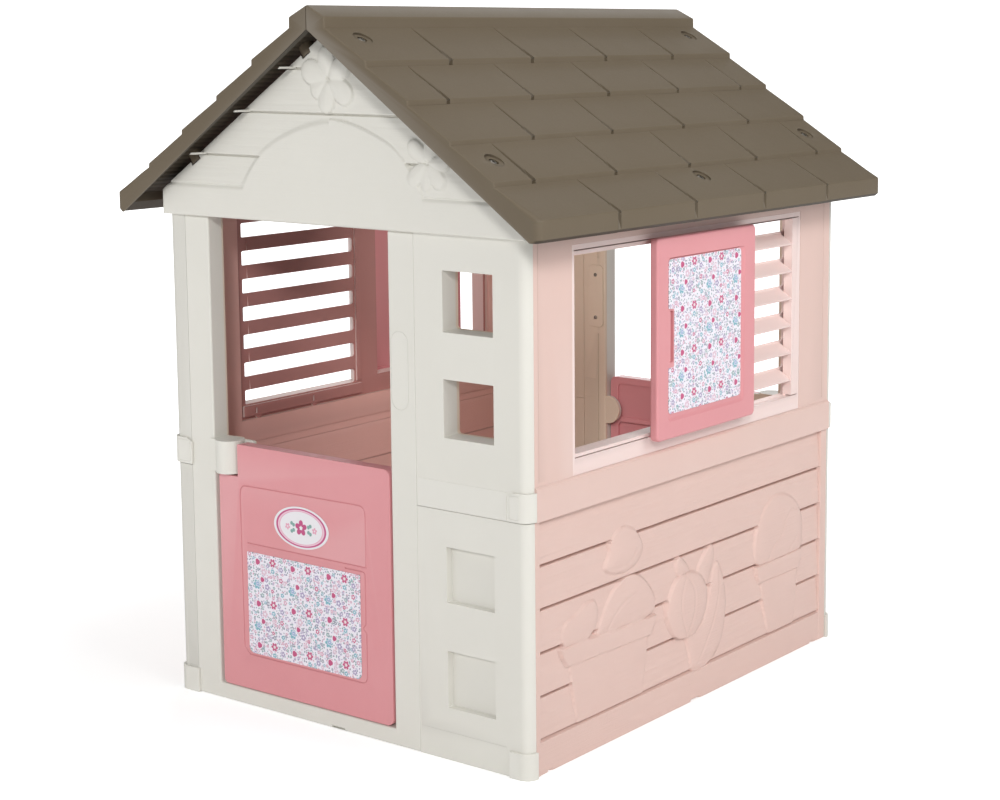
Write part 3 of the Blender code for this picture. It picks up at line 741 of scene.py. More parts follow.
def badge_print(centre_x, centre_z, half_x, half_z):
    """White oval film with two rings and a plain five-petal flower."""
    n = Nodes("door_badge_print")
    tc = n.new("ShaderNodeTexCoord")
    sep = n.new("ShaderNodeSeparateXYZ")
    n.put(sep.inputs[0], tc.outputs["Object"])
    dx = n.math("SUBTRACT", n.math("ABSOLUTE", sep.outputs[0]), abs(centre_x))
    dz = n.math("SUBTRACT", sep.outputs[2], centre_z)
    u, v = n.math("DIVIDE", dx, half_x), n.math("DIVIDE", dz, half_z)
    rho = n.math("SQRT", n.math("ADD", n.math("MULTIPLY", u, u), n.math("MULTIPLY", v, v)))
    white, rose, pink = (0.78, 0.76, 0.79, 1), (0.50, 0.060, 0.20, 1), (0.72, 0.34, 0.46, 1)

    def ring(r0, r1):
        return n.math("MULTIPLY", n.step(rho, r0 - 0.008, r0 + 0.008), n.math("SUBTRACT", 1.0, n.step(rho, r1 - 0.008, r1 + 0.008)))
    col = n.mix(ring(0.775, 0.905), white, (0.78, 0.52, 0.62, 1))
    col = n.mix(ring(0.850, 0.915), col, rose)
    col = n.mix(ring(0.770, 0.795), col, pink)

    def petals(cx, cz, size, count, depth, colour, turn, col):
        a, b = n.math("SUBTRACT", dx, cx), n.math("SUBTRACT", dz, cz)
        r = n.math("SQRT", n.math("ADD", n.math("MULTIPLY", a, a), n.math("MULTIPLY", b, b)))
        q = n.math("DIVIDE", r, n.math("MULTIPLY", lobes(n, n.math("ADD", n.math("ARCTAN2", b, a), turn), count, depth), size))
        return n.mix(n.math("SUBTRACT", 1.0, n.step(q, 0.94, 1.05)), col, colour), q
    for cx, cz, turn in ((0.0205, 0.0050, -0.5), (-0.0205, 0.0050, 0.5), (0.0205, -0.0070, 0.5), (-0.0205, -0.0070, -0.5)):
        col, _ = petals(cx, cz, 0.0060, 2, 0.75, (0.20, 0.36, 0.33, 1), turn, col)
    col, q = petals(0.0, 0.0, 0.0145, 5, 0.46, rose, -1.57, col)
    col = n.mix(n.math("SUBTRACT", 1.0, n.step(q, 0.26, 0.32)), col, white)
    for cx, cz, turn in ((0.0330, -0.0010, 0.4), (-0.0330, -0.0010, -0.4)):
        col, q2 = petals(cx, cz, 0.0062, 5, 0.46, pink, turn, col)
        col = n.mix(n.math("SUBTRACT", 1.0, n.step(q2, 0.26, 0.34)), col, white)
    n.put(n.bsdf.inputs["Base Color"], col)
    n.bsdf.inputs["Roughness"].default_value = 0.28
    p = n.coords()
    n.put(n.bsdf.inputs["Normal"], n.bump(n.noise(p, 700.0, 2.0), 0.05, 0.0002))
    n.bsdf.inputs["Coat Weight"].default_value = 0.2
    return n.mat


M_STEEL = screw_metal()
M_PRINT = floral_print()

# ------------------------------------------------------------------ front and back: door frame
DOOR_L, DOOR_R, SILL_Z = -0.3113, 0.1203, 0.030
KN_R, KN_Z0, KN_Z1 = 0.0265, 0.4310, 0.4915


def door_frame():
    f = prism("look_front_door_frame", [
        (POST_X, 0), (COL_X, 0), (COL_X, Z_TOP), (DOOR_R, Z_TOP), (DOOR_R, SILL_Z),
        (DOOR_L, SILL_Z), (DOOR_L, Z_TOP), (POST_X, Z_TOP)], "xz", Y0, Y1)
    bevel_by(f, 0.0034, 4, lambda c: 0.16 if abs(c.x - POST_X) < 0.001 else (0.45 if abs(c.x - COL_X) < 0.001 else 1.0))
    knuckle = rod("knuckle", HINGE_X, HINGE_Y, KN_R, KN_Z0, KN_Z1, 56)
    web = block("web", DOOR_L - 0.006, -0.4990, KN_Z0 + 0.0005, HINGE_X - 0.004, -0.4600, KN_Z1 - 0.0005)
    add(knuckle, web)
    lug = prism("lug", round_rect(HINGE_X - 0.004, 0.4700, -0.2370, KN_Z1 - 0.002, 0.004), "xz", -0.4690, -0.4590)
    bevel(knuckle, 0.0042, 4, 40)
    bevel(lug, 0.0014, 3)
    add(knuckle, lug)
    add(f, knuckle)
    tab = prism("tab", [(DOOR_R + 0.004, 0.385)] + arc(DOOR_R - 0.004, 0.415, 0.030, 270, 90, 18)
                + [(DOOR_R + 0.004, 0.445)], "xz", -0.4680, -0.4575)
    bevel(tab, 0.0014, 3)
    add(f, tab)
    tools = [
        rod("top_bore", HINGE_X, HINGE_Y, PIN_R + GAP, KN_Z0 - 0.01, 0.4780, 24),
        rod("bottom_bore", HINGE_X, HINGE_Y, PIN_R + GAP, 0.0060, SILL_Z + 0.01, 24),
        # pill outline on the right jamb
        tube("pill", arc(0.144, 0.709, 0.0190, 0, 180, 14) + arc(0.144, 0.613, 0.0190, 180, 360, 14), 0.0007, "xz", Y0, closed=True, n=6),
        # the ejector slot under the sill
        prism("slot", round_rect(-0.031, 0.0015, 0.001, 0.0050, 0.0012), "xz", Y0 - 0.01, Y0 + 0.006),
    ]
    for z in (0.615, 0.707):
        t = rod("plate_bore", 0, 0, 0.0023, 0, 0.020, 16)
        t.data.transform(Matrix.Translation((0.144, Y1 - 0.016, z)) @ Matrix.Rotation(-math.pi / 2, 4, "X"))
        tools.append(t)
    # inside: the moulded lines that show on the back of each jamb
    for z in (0.250, 0.440, 0.480):
        tools.append(block("line_%d" % int(z * 1000), 0.1450, Y1 - 0.0009, z - 0.0009, COL_X - 0.003, Y1 + 0.002, z + 0.0009))
    for x, z0, z1 in ((0.139, 0.032, 0.580), (0.139, 0.742, 0.880), (-0.341, 0.032, 0.880)):
        tools.append(block("upright_%d" % int(z0 * 1000), x - 0.0012, Y1 - 0.0016, z0, x + 0.0012, Y1 + 0.002, z1))
    cut(f, join(tools))
    return shade(f)


both(door_frame(), "front_door_frame", "back_door_frame", M_CREAM)


# ------------------------------------------------------------------ window columns, corner posts
WIN_X0, WIN_X1 = 0.2425, 0.3445
WIN_Z = ((0.7375, 0.8355), (0.5600, 0.6540))
BLIND_Z = ((0.2760, 0.3710), (0.0930, 0.1910))


def column_outline():
    r = POST_R
    inner = B("front_window_column_upper")[1].x - 0.0403
    return ([(COL_X + 2 * GAP, Y0)] + arc(HX - r, Y0 + r, r, -90, 0, 10)
            + [(HX, Y0 + REBATE), (inner, Y0 + REBATE), (inner, Y1), (COL_X + 2 * GAP, Y1)])


def frustum_hole(name, x0, z0, x1, z1, y_out, y_in, r=0.006, flare=0.0025):
    """A window hole that narrows a little towards the inside, with rounded corners."""
    n = 6
    a = round_rect(x0 - flare, z0 - flare, x1 + flare, z1 + flare, 0.0008, n)
    b = round_rect(x0, z0, x1, z1, r, n)
    m = len(a)
    verts = [(p[0], y_out, p[1]) for p in a] + [(p[0], y_in, p[1]) for p in b]
    faces = [tuple(range(m)), tuple(reversed(range(m, 2 * m)))]
    faces += [(i, i + m, (i + 1) % m + m, (i + 1) % m) for i in range(m)]
    return from_arrays(name, verts, faces)


def columns():
    up = prism("look_front_window_column_upper", column_outline(), "xy", Z_SEAM + 2 * GAP, Z_TOP)
    bevel(up, 0.0024, 3)
    cut(up, join([frustum_hole("pane%d" % k, WIN_X0, a, WIN_X1, b, Y0 - 0.001, Y1 + 0.001) for k, (a, b) in enumerate(WIN_Z)]))
    bevel(up, 0.0009, 2, 50)
    # the low band above the seam stands a little proud
    band = prism("band", [(COL_X + 0.003, Z_SEAM + 0.0012), (0.372, Z_SEAM + 0.0012), (0.372, 0.4830), (COL_X + 0.003, 0.4830)], "xz", Y0 - 0.0007, Y0 + 0.002)
    bevel(band, 0.0006, 2)
    add(up, band)
    low = prism("look_front_window_column_lower", column_outline(), "xy", 0, Z_SEAM)
    bevel(low, 0.0024, 3)
    cut(low, join([frustum_hole("blind%d" % k, WIN_X0 + 0.001, a + 0.001, WIN_X1 - 0.001, b - 0.001, Y0 - 0.001, Y0 + 0.012, 0.005, 0.0018)
                   for k, (a, b) in enumerate(BLIND_Z)]))
    bevel(low, 0.0008, 2, 50)
    cut(low, tube("line", [(COL_X + 0.004, 0.050), (HX - 0.048, 0.050)], 0.0006, "xz", Y0, n=6))
    return shade(up), shade(low)


up, low = columns()
both(up, "front_window_column_upper", "back_window_column_upper", M_CREAM)
both(low, "front_window_column_lower", "back_window_column_lower", M_CREAM)

for level, z0, z1 in (("lower", 0, Z_SEAM), ("upper", Z_SEAM + 2 * GAP, Z_TOP)):
    pts = ([(-HX, Y0 + REBATE)] + arc(-HX + POST_R, Y0 + POST_R, POST_R, 180, 270, 10)
           + [(POST_X - 2 * GAP, Y0), (POST_X - 2 * GAP, Y0 + REBATE)])
    post = prism("look_front_corner_post_" + level, pts, "xy", z0, z1)
    bevel_by(post, 0.0018, 3, lambda c: 0.25 if abs(c.x - POST_X) < 0.002 else 1.0)
    if level == "lower":
        cut(post, tube("line", [(-HX + 0.020, 0.050), (POST_X - 0.002, 0.050)], 0.0006, "xz", Y0, n=6))
    shade(post)
    both(post, "front_corner_post_" + level, "back_corner_post_" + level, M_CREAM_SHADED)


# ------------------------------------------------------------------ corner clips and feet
def corner_piece(name, sign, reach, z0, z1, kind):
    cx, cy = HX - POST_R, Y0 + POST_R
    outer, inner, end = POST_R + 0.005, POST_R + GAP, Y0 + REBATE - 0.0002
    x_tip = HX + 0.005 - reach
    pts = ([(x_tip, Y0 - 0.005)] + arc(cx, cy, outer, -90, 0, 14) + [(HX + 0.005, end), (HX + GAP, end)]
           + arc(cx, cy, inner, 0, -90, 14) + [(x_tip, Y0 - GAP)])
    if sign < 0:
        pts = [(-x, y) for x, y in reversed(pts)]
    c = prism(name, pts, "xy", z0, z1)
    if kind == "clip":
        # the outer edges fall away at the top, and at the tip's upper corner
        t = prism("slope", [(x_tip - 0.002, z1 - 0.0085), (x_tip + 0.014, z1 + 0.0008), (x_tip + 0.014, z1 + 0.004), (x_tip - 0.002, z1 + 0.004)], "xz", Y0 - 0.02, Y0 + 0.01)
        if sign < 0:
            t.data.transform(Matrix.Scale(-1, 4, (1, 0, 0)))
            t.data.flip_normals()
        cut(c, t)
    bevel(c, 0.0019, 3, 40)
    if kind == "clip":
        mid, half = (z0 + z1) / 2, (z1 - z0) / 2 - 0.0048
        a = sign * (x_tip + 0.0042)
        b = sign * (HX - 0.0145)
        lo, hi = min(a, b), max(a, b)
        path = round_rect(lo, mid - half, hi, mid + half, 0.0042, 5)
        cut(c, tube("pad", path, 0.00055, "xz", Y0 - 0.005, closed=True, n=6))
    return shade(c)


for kind, z0, z1 in (("clip", 0.4360, 0.4845), ("foot", 0.0, 0.0460)):
    right = corner_piece("look_corner_%s_front_right" % kind, 1, 0.0440, z0, z1, kind)
    left = corner_piece("look_corner_%s_front_left" % kind, -1, 0.0540, z0, z1, kind)
    both(right, "corner_%s_front_right" % kind, "corner_%s_back_left" % kind, M_CREAM)
    both(left, "corner_%s_front_left" % kind, "corner_%s_back_right" % kind, M_CREAM)


# ------------------------------------------------------------------ gable: boards, plaque, flowers
def under(x):
    return V_Z - 0.0005 - V_SLOPE * abs(x)


def blossom(cx, cz, size, petals, turn=0.0, squash=1.0):
    """Outlines of a plain flower: petals as ovals around a centre, angles in degrees with lengths."""
    out = []
    for ang, length, width in petals:
        a = math.radians(ang + turn)
        ex, ez = math.cos(a), math.sin(a) * squash
        px, pz = cx + ex * length * 0.55, cz + ez * length * 0.55
        pts = []
        for k in range(28):
            t = 2 * math.pi * k / 28
            u, w = math.cos(t) * length * 0.52, math.sin(t) * width * (1.0 + 0.18 * math.cos(t))
            pts.append((px + ex * u - ez * w, pz + ez * u + ex * w))
        out.append(pts)
    return out


BOARDS = (0.9565, 1.0110, 1.0890, 1.1650, 1.2400)
PLAQUE = ([(-0.2170, 0.9000), (0.2070, 0.9000), (0.2070, 0.9590)]
          + spline([(0.2070, 0.9590), (0.1860, 0.9930), (0.1630, 1.0200), (0.1380, 1.0400), (0.1080, 1.0540), (0.0600, 1.0710), (0.0030, 1.0800),
                    (-0.0560, 1.0710), (-0.1060, 1.0540), (-0.1420, 1.0370), (-0.1700, 1.0180), (-0.1960, 0.9900), (-0.2170, 0.9590)], closed=False, n=6))
APEX = blossom(0.002, 1.146, 1, ((262, 0.056, 0.0195), (325, 0.060, 0.0215), (35, 0.052, 0.0200), (98, 0.055, 0.0200), (163, 0.062, 0.0230), (213, 0.046, 0.0190)))
SPRIG = blossom(0.219, 1.013, 1, ((222, 0.052, 0.0165), (265, 0.046, 0.0140), (308, 0.050, 0.0160), (0, 0.044, 0.0140), (75, 0.042, 0.0150), (140, 0.050, 0.0170)))


def gable_face(X, Z):
    h = np.full(X.shape, 0.0005)
    for a, b in zip(BOARDS, BOARDS[1:]):
        t = (Z - a) / (b - a)
        u = Z - a
        nose = np.where(u < 0.0022, (0.0022 - u) ** 2 / (2 * 0.0022) * 1.3, 0.0)
        h = np.where((Z >= a) & (Z < b), 0.0034 - 0.0030 * t - nose, h)
    for a in BOARDS[1:-1]:
        h -= 0.0042 * smooth((Z - (a - 0.0042)) / 0.0012) * (Z < a)
    grain = (vnoise(X * 9, Z * 420, 1) - 0.5) * 0.00035 + (vnoise(X * 4, Z * 150, 2) - 0.5) * 0.0004
    h = h + grain
    # beam with its rounded upper edge
    beam = 0.0050 - 0.0035 * smooth((Z - 0.9490) / 0.0070)
    h = np.where(Z < 0.9565, np.maximum(beam, 0.0002), h)
    # plaque, level with the beam
    sd = sd_poly(X, Z, PLAQUE)
    m = smooth((0.0006 - sd) / np.where(X < 0, 0.0110, 0.0032))
    h = h * (1 - m) + 0.0050 * m
    h = h - 0.0007 * np.exp(-((sd - 0.0014) / 0.0012) ** 2) * (Z > 0.957) * smooth((X + 0.06) / 0.10)
    # flowers: puffed petals that overlap
    for group, rise, dome in ((APEX, 0.0042, 0.0052), (SPRIG, 0.0036, 0.0040)):
        top = np.full(X.shape, -1.0)
        for i, poly in enumerate(group):
            s = sd_poly(X, Z, poly)
            d = np.clip(-s, 0, None)
            t = rise * smooth(d / 0.0030) + dome * (1 - np.exp(-d / 0.0075)) - 0.0006 * (i % 2)
            top = np.maximum(top, np.where(s < 0, 0.0012 + t, -1.0))
        h = np.where(top > -0.5, np.maximum(h, top), h)
    # the outline's edges are rounded
    d = np.minimum(BEAM_X - np.abs(X), (under(0) - V_SLOPE * np.abs(X) - Z) * math.cos(TILT))
    d = np.minimum(d, Z - Z_TOP)
    r = np.where(Z < 0.955, 0.0045, 0.0015)
    k = np.clip(1 - d / r, 0, 1)
    return h - r * (1 - np.sqrt(np.maximum(0, 1 - k * k)))


def gable():
    us = samples(-1, 1, 0.0052, (-0.994, 0.006, 0.0012), (0.994, 0.006, 0.0012))
    vs = samples(Z_TOP + GAP, under(0) - 0.0009, 0.0022, *[(b, 0.0044, 0.0008) for b in BOARDS[:-1]],
                 (Z_TOP + 0.003, 0.003, 0.0008))

    def umap(U, V):
        return U * np.minimum(BEAM_X, np.maximum((under(0) - V) / V_SLOPE, 0.0006))

    def put(x, z, h):
        return x, GABLE_FACE - h, z
    g = slab("look_front_gable", us, vs, put, gable_face, lambda X, Z: np.full(X.shape, GABLE_FACE - GABLE_BACK), 6, umap)
    tools = []
    for side in (1, -1):
        for x, y in SCREWS:
            if y < 0:
                tools.append(bore_tool("notch", x, y, 0.0160, 0.03, -under_depth(x) - 0.0090, side, 28))
    tools.append(tube("seam", [(0.385, 0.9475), (0.385, 0.9240)], 0.0006, "xz", BEAM_FACE, n=6))
    cut(g, join(tools))
    # tongues that run forward from the boards' ends along the roof's underside
    for side in (1, -1):
        for z in BOARDS[1:4]:
            xe = (under(0) - z) / V_SLOPE
            t = prism("tongue", [(xe - 0.0150, z - 0.0020), (xe - 0.0040, z - 0.0020), (xe - 0.0080, z + 0.0016), (xe - 0.0150, z + 0.0016)], "xz", -0.5290, GABLE_FACE + 0.002)
            taper(t, -0.5290, GABLE_FACE, xe, z)
            if side < 0:
                t.data.transform(Matrix.Scale(-1, 4, (1, 0, 0)))
                t.data.flip_normals()
            add(g, t)
    return shade(g, 50, False)


def taper(ob, y_tip, y_root, xe, z):
    """The tongue narrows to a point on its inner side."""
    for v in ob.data.vertices:
        if v.co.y < y_tip + 0.001 and v.co.x < xe - 0.012:
            v.co.x = xe - 0.0085


def roof_height(x):
    for x0, z0, x1, z1 in COURSES:
        if x0 <= x <= x1:
            return z0 + (z1 - z0) * (x - x0) / (x1 - x0)
    return RIDGE_Z


def bore_tool(name, x, y, radius, top, bottom, side=1, n=32):
    t = rod(name, 0, 0, radius, bottom, top, n)
    t.data.transform(Matrix.Translation((side * x, y, roof_height(x))) @ Matrix.Rotation(side * TILT, 4, "Y"))
    return t


def under_depth(x):
    return (roof_height(x) - (V_Z - V_SLOPE * x)) * math.cos(TILT)


both(gable(), "front_gable", "back_gable", M_BOARD)


# ------------------------------------------------------------------ lower side wall: planks and garden reliefs
KICK_Z, PITCH = 0.0623, 0.0743
GROOVES = [KICK_Z + k * PITCH for k in range(5)]
POT_A_RIM = [(-0.4080, 0.2040), (-0.1230, 0.1960), (-0.1290, 0.1780), (-0.1410, 0.1600), (-0.3880, 0.1660), (-0.4010, 0.1840)]
POT_A = [(-0.3830, 0.1700), (-0.1470, 0.1640), (-0.1540, 0.1200), (-0.1660, 0.0600), (-0.3600, 0.0600), (-0.3720, 0.1150)]
POT_B_RIM = [(0.2120, 0.2050), (0.3850, 0.2080), (0.3810, 0.1880), (0.3740, 0.1690), (0.2230, 0.1680), (0.2150, 0.1860)]
POT_B = [(0.2290, 0.1720), (0.3690, 0.1730), (0.3640, 0.1150), (0.3540, 0.0600), (0.2580, 0.0600), (0.2400, 0.1200)]
LEAF_A1 = spline([(-0.3960, 0.2040), (-0.4010, 0.2280), (-0.3870, 0.2450), (-0.3620, 0.2520), (-0.3330, 0.2640), (-0.3060, 0.2640), (-0.2960, 0.2400), (-0.3050, 0.2160), (-0.3280, 0.2000), (-0.3640, 0.1960)])
LEAF_A2 = spline([(-0.3020, 0.2000), (-0.2860, 0.2320), (-0.2560, 0.2660), (-0.2160, 0.2850), (-0.1760, 0.2800), (-0.1420, 0.2520), (-0.1250, 0.2220), (-0.1330, 0.2000), (-0.1900, 0.1930), (-0.2600, 0.1960)])
VEIN_A = spline([(-0.2700, 0.2050), (-0.2480, 0.2270), (-0.2200, 0.2420), (-0.1900, 0.2500)], closed=False)
LEAF_B1 = spline([(0.2190, 0.2060), (0.2070, 0.2400), (0.2190, 0.2820), (0.2500, 0.3180), (0.2960, 0.3340), (0.3480, 0.3180), (0.3820, 0.2830), (0.3900, 0.2420), (0.3780, 0.2050), (0.3000, 0.1980)])
VEIN_B = spline([(0.2560, 0.2080), (0.2780, 0.2360), (0.3060, 0.2500), (0.3200, 0.2760), (0.3440, 0.2960), (0.3640, 0.2900)], closed=False)
VEIN_B2 = spline([(0.3300, 0.2060), (0.3420, 0.2200), (0.3640, 0.2320)], closed=False)
PEBBLE = spline([(-0.2810, 0.3170), (-0.2690, 0.3340), (-0.2640, 0.3560), (-0.2480, 0.3720), (-0.2190, 0.3770), (-0.1900, 0.3650), (-0.1690, 0.3420), (-0.1660, 0.3200), (-0.1860, 0.3010), (-0.2200, 0.2930), (-0.2560, 0.2970), (-0.2760, 0.3060)])
PEBBLE_LINE = spline([(-0.2620, 0.3080), (-0.2330, 0.3060), (-0.2060, 0.3130), (-0.1880, 0.3290)], closed=False)
TULIP = spline([(-0.0940, 0.1900), (-0.0860, 0.2160), (-0.0640, 0.2420), (-0.0300, 0.2500), (0.0080, 0.2420), (0.0340, 0.2180), (0.0420, 0.1880), (0.0300, 0.1550), (0.0040, 0.1310), (-0.0290, 0.1250), (-0.0640, 0.1340), (-0.0860, 0.1600)])
TULIP_LINES = (spline([(-0.0300, 0.2460), (-0.0480, 0.2130), (-0.0480, 0.1730), (-0.0290, 0.1300)], closed=False),
               spline([(-0.0300, 0.2460), (-0.0080, 0.2130), (-0.0080, 0.1730), (-0.0290, 0.1300)], closed=False))
LEAF_T1 = spline([(-0.0480, 0.2420), (-0.0600, 0.2660), (-0.0520, 0.2860), (-0.0300, 0.2720), (-0.0160, 0.2490)])
LEAF_T2 = spline([(0.0060, 0.2360), (0.0250, 0.2640), (0.0560, 0.2860), (0.0680, 0.2650), (0.0560, 0.2360), (0.0380, 0.2120)])
STEM_T = spline([(-0.0300, 0.1400), (-0.0200, 0.0990), (-0.0110, 0.0600), (0.0200, 0.0540), (0.0620, 0.0650), (0.0930, 0.0950), (0.1060, 0.1400), (0.1060, 0.1860), (0.0930, 0.2240), (0.0760, 0.2480), (0.0560, 0.2200), (0.0420, 0.1760), (0.0200, 0.1400)])
STEM_VEIN = spline([(0.0100, 0.0700), (0.0340, 0.0990), (0.0620, 0.1400), (0.0800, 0.1900), (0.0800, 0.2300)], closed=False)


def wall_face(Y, Z):
    """Height of the lower wall's outer face over its border plane."""
    h = np.full(Y.shape, -0.0010)
    edges = GROOVES + [Z_SEAM + 0.004]
    for k, (a, b) in enumerate(zip(edges, edges[1:])):
        t = np.clip((Z - a) / PITCH, 0, 1)
        u = Z - a
        nose = np.where(u < 0.0020, (0.0020 - u) ** 2 / (2 * 0.0020) * 1.4, 0.0)
        h = np.where((Z >= a) & (Z < b), -0.0032 - 0.0052 * t - nose, h)
    # under each plank's nose the line is cut deeper
    for a in GROOVES[1:]:
        h -= 0.0088 * smooth((Z - (a - 0.0064)) / 0.0014) * (Z < a)
    h -= 0.0080 * smooth((Z - (KICK_Z - 0.0048)) / 0.0014) * (Z < KICK_Z)
    plank = (Z > KICK_Z + 0.003)
    row = np.floor((Z - KICK_Z) / PITCH)
    warp = (vnoise(Y * 6 + row * 5.1, Z * 30, 3) - 0.5) * 0.012
    grain = ((vnoise((Y + row * 0.37) * 7, (Z + warp) * 240, 4) - 0.5) * 0.0009
             + (vnoise((Y + row * 0.61) * 15, (Z + warp) * 470, 5) - 0.5) * 0.0005
             + (vnoise((Y + row * 0.17) * 3, (Z + warp * 2) * 90, 6) - 0.5) * 0.0006)
    h = np.where(plank, h + grain, h)

    def raised(h, poly, level, rise, dome, edge=0.0026, spread=0.012, lines=()):
        sd = sd_poly(Y, Z, poly)
        d = np.clip(-sd, 0, None)
        top = level + rise * smooth(d / edge) + dome * (1 - np.exp(-d / spread))
        for path in lines:
            q = sd_line(Y, Z, path)
            top = top - 0.0013 * np.exp(-(q / 0.0016) ** 2)
        m = smooth(d / 0.0014)
        out = h * (1 - m) + np.maximum(top, h - 0.002) * m
        return np.where(sd < 0, out, h)
    low = -0.0062
    h = raised(h, LEAF_A1, low, 0.0028, 0.0026)
    h = raised(h, LEAF_A2, low, 0.0028, 0.0032, lines=(VEIN_A,))
    h = raised(h, POT_A, low, 0.0042, 0.0014, spread=0.05)
    h = raised(h, POT_A_RIM, low + 0.0012, 0.0050, 0.0010, spread=0.02)
    h = raised(h, LEAF_B1, low, 0.0028, 0.0034, lines=(VEIN_B, VEIN_B2))
    h = raised(h, POT_B, low, 0.0042, 0.0014, spread=0.05)
    h = raised(h, POT_B_RIM, low + 0.0012, 0.0050, 0.0010, spread=0.02)
    h = raised(h, PEBBLE, low, 0.0040, 0.0048, spread=0.014, lines=(PEBBLE_LINE,))
    h = raised(h, STEM_T, low, 0.0034, 0.0034, lines=(STEM_VEIN,))
    h = raised(h, LEAF_T1, low, 0.0030, 0.0026)
    h = raised(h, LEAF_T2, low, 0.0030, 0.0028)
    h = raised(h, TULIP, low + 0.0010, 0.0046, 0.0052, spread=0.014, lines=TULIP_LINES)
    # smooth borders at both ends, and the rounded outer edges
    m = np.maximum(smooth((-0.4625 - Y) / 0.0012), smooth((Y - 0.4515) / 0.0012))
    h = h * (1 - m) + 0.0 * m
    low_edge = np.clip(1 - Z / 0.0025, 0, 1)
    h = h - 0.0025 * (1 - np.sqrt(np.maximum(0, 1 - low_edge ** 2)))
    for y0, y1 in ((-0.014, 0.020), (-0.444, -0.430), (0.420, 0.434)):
        m = smooth((Y - y0) / 0.0015) * smooth((y1 - Y) / 0.0015) * smooth((0.0048 - Z) / 0.0012)
        h = h - 0.0060 * m
    side = np.clip(1 - (END_Y - np.abs(Y)) / 0.0015, 0, 1)
    return h - 0.0015 * (1 - np.sqrt(np.maximum(0, 1 - side ** 2)))


def wall_inside(Y, Z):
    """Inner face: a flat plane; the planks' lines are cut into it afterwards."""
    h = np.full(Y.shape, WALL_X0 - HX)
    return h


def lower_wall():
    us = samples(-END_Y, END_Y, 0.0026, (-0.4625, 0.002, 0.0007), (0.4515, 0.002, 0.0007), (-END_Y, 0.002, 0.0006), (END_Y, 0.002, 0.0006))
    vs = samples(0, Z_SEAM, 0.0022, *[(g - 0.001, 0.0056, 0.0007) for g in GROOVES], (0.003, 0.003, 0.0008))

    def put(y, z, h):
        return HX + h, y, z
    w = slab("look_right_wall_lower", us, vs, put, wall_face, wall_inside, 8)
    # plank lines cut into the inner face
    cut(w, join([block("inner%d" % k, WALL_X0 - 0.002, -END_Y + 0.030, z - 0.0018, WALL_X0 + 0.0018, END_Y - 0.030, z + 0.0018) for k, z in enumerate(GROOVES)]))
    return shade(w, 50, True)


both(lower_wall(), "right_wall_lower", "left_wall_lower", M_PLANK)


# ------------------------------------------------------------------ upper side wall
FRAME_Y0, FRAME_Y1, FRAME_Z1 = WIN_LO.y - GAP, WIN_HI.y + GAP, WIN_HI.z + GAP
BAND_Z1 = 0.4920
X0, X1 = WALL_X0, HX


def clear(x):
    return V_Z - 0.0008 - V_SLOPE * x


def upper_wall():
    w = prism("look_right_wall_upper", [
        (X0, Z_SEAM + GAP), (BAND_FACE, Z_SEAM + GAP), (BAND_FACE, BAND_Z1 - 0.0030), (BAND_FACE - 0.0030, BAND_Z1),
        (X1, BAND_Z1), (X1, clear(X1)), (X0, clear(X0))], "xz", -END_Y, END_Y)
    bevel(w, 0.0017, 3, 30)
    cut(w, block("window", X0 - 0.01, FRAME_Y0, BAND_Z1 + 0.0005, BAND_FACE + 0.01, FRAME_Y1, FRAME_Z1),
        bore_tool("bore", 0.4250, 0, 0.0033, 0.02, -0.060))
    bevel(w, 0.0011, 2, 50)
    lines = [tube("line", [(y, 0.500), (y, 0.905)], 0.0008, "yz", X1, n=6) for y in (-0.4640, 0.4520)]
    cut(w, join(lines))
    cut(w, join([block("inner%d" % k, X0 - 0.002, y - 0.0013, 0.4640, X0 + 0.0012, y + 0.0013, 0.9280) for k, y in enumerate((-0.418, 0.412))]
                + [block("inner_low", X0 - 0.002, -END_Y + 0.030, 0.4470, X0 + 0.0014, END_Y - 0.030, 0.4500)]))
    return shade(w)


both(upper_wall(), "right_wall_upper", "left_wall_upper", M_PALE)

# ------------------------------------------------------------------ window frame with louvres
OPEN_Y0, OPEN_Y1, LOUV_Y0, LOUV_Y1 = -0.3655, -0.0240, 0.0430, 0.3490
OPEN_Z0, OPEN_Z1, SLATS = 0.5290, 0.8620, 6
STILE_Y = LOUV_Y1 - 0.0155
LIP_Z, LIP_T = (0.5205, 0.8680), 0.0035


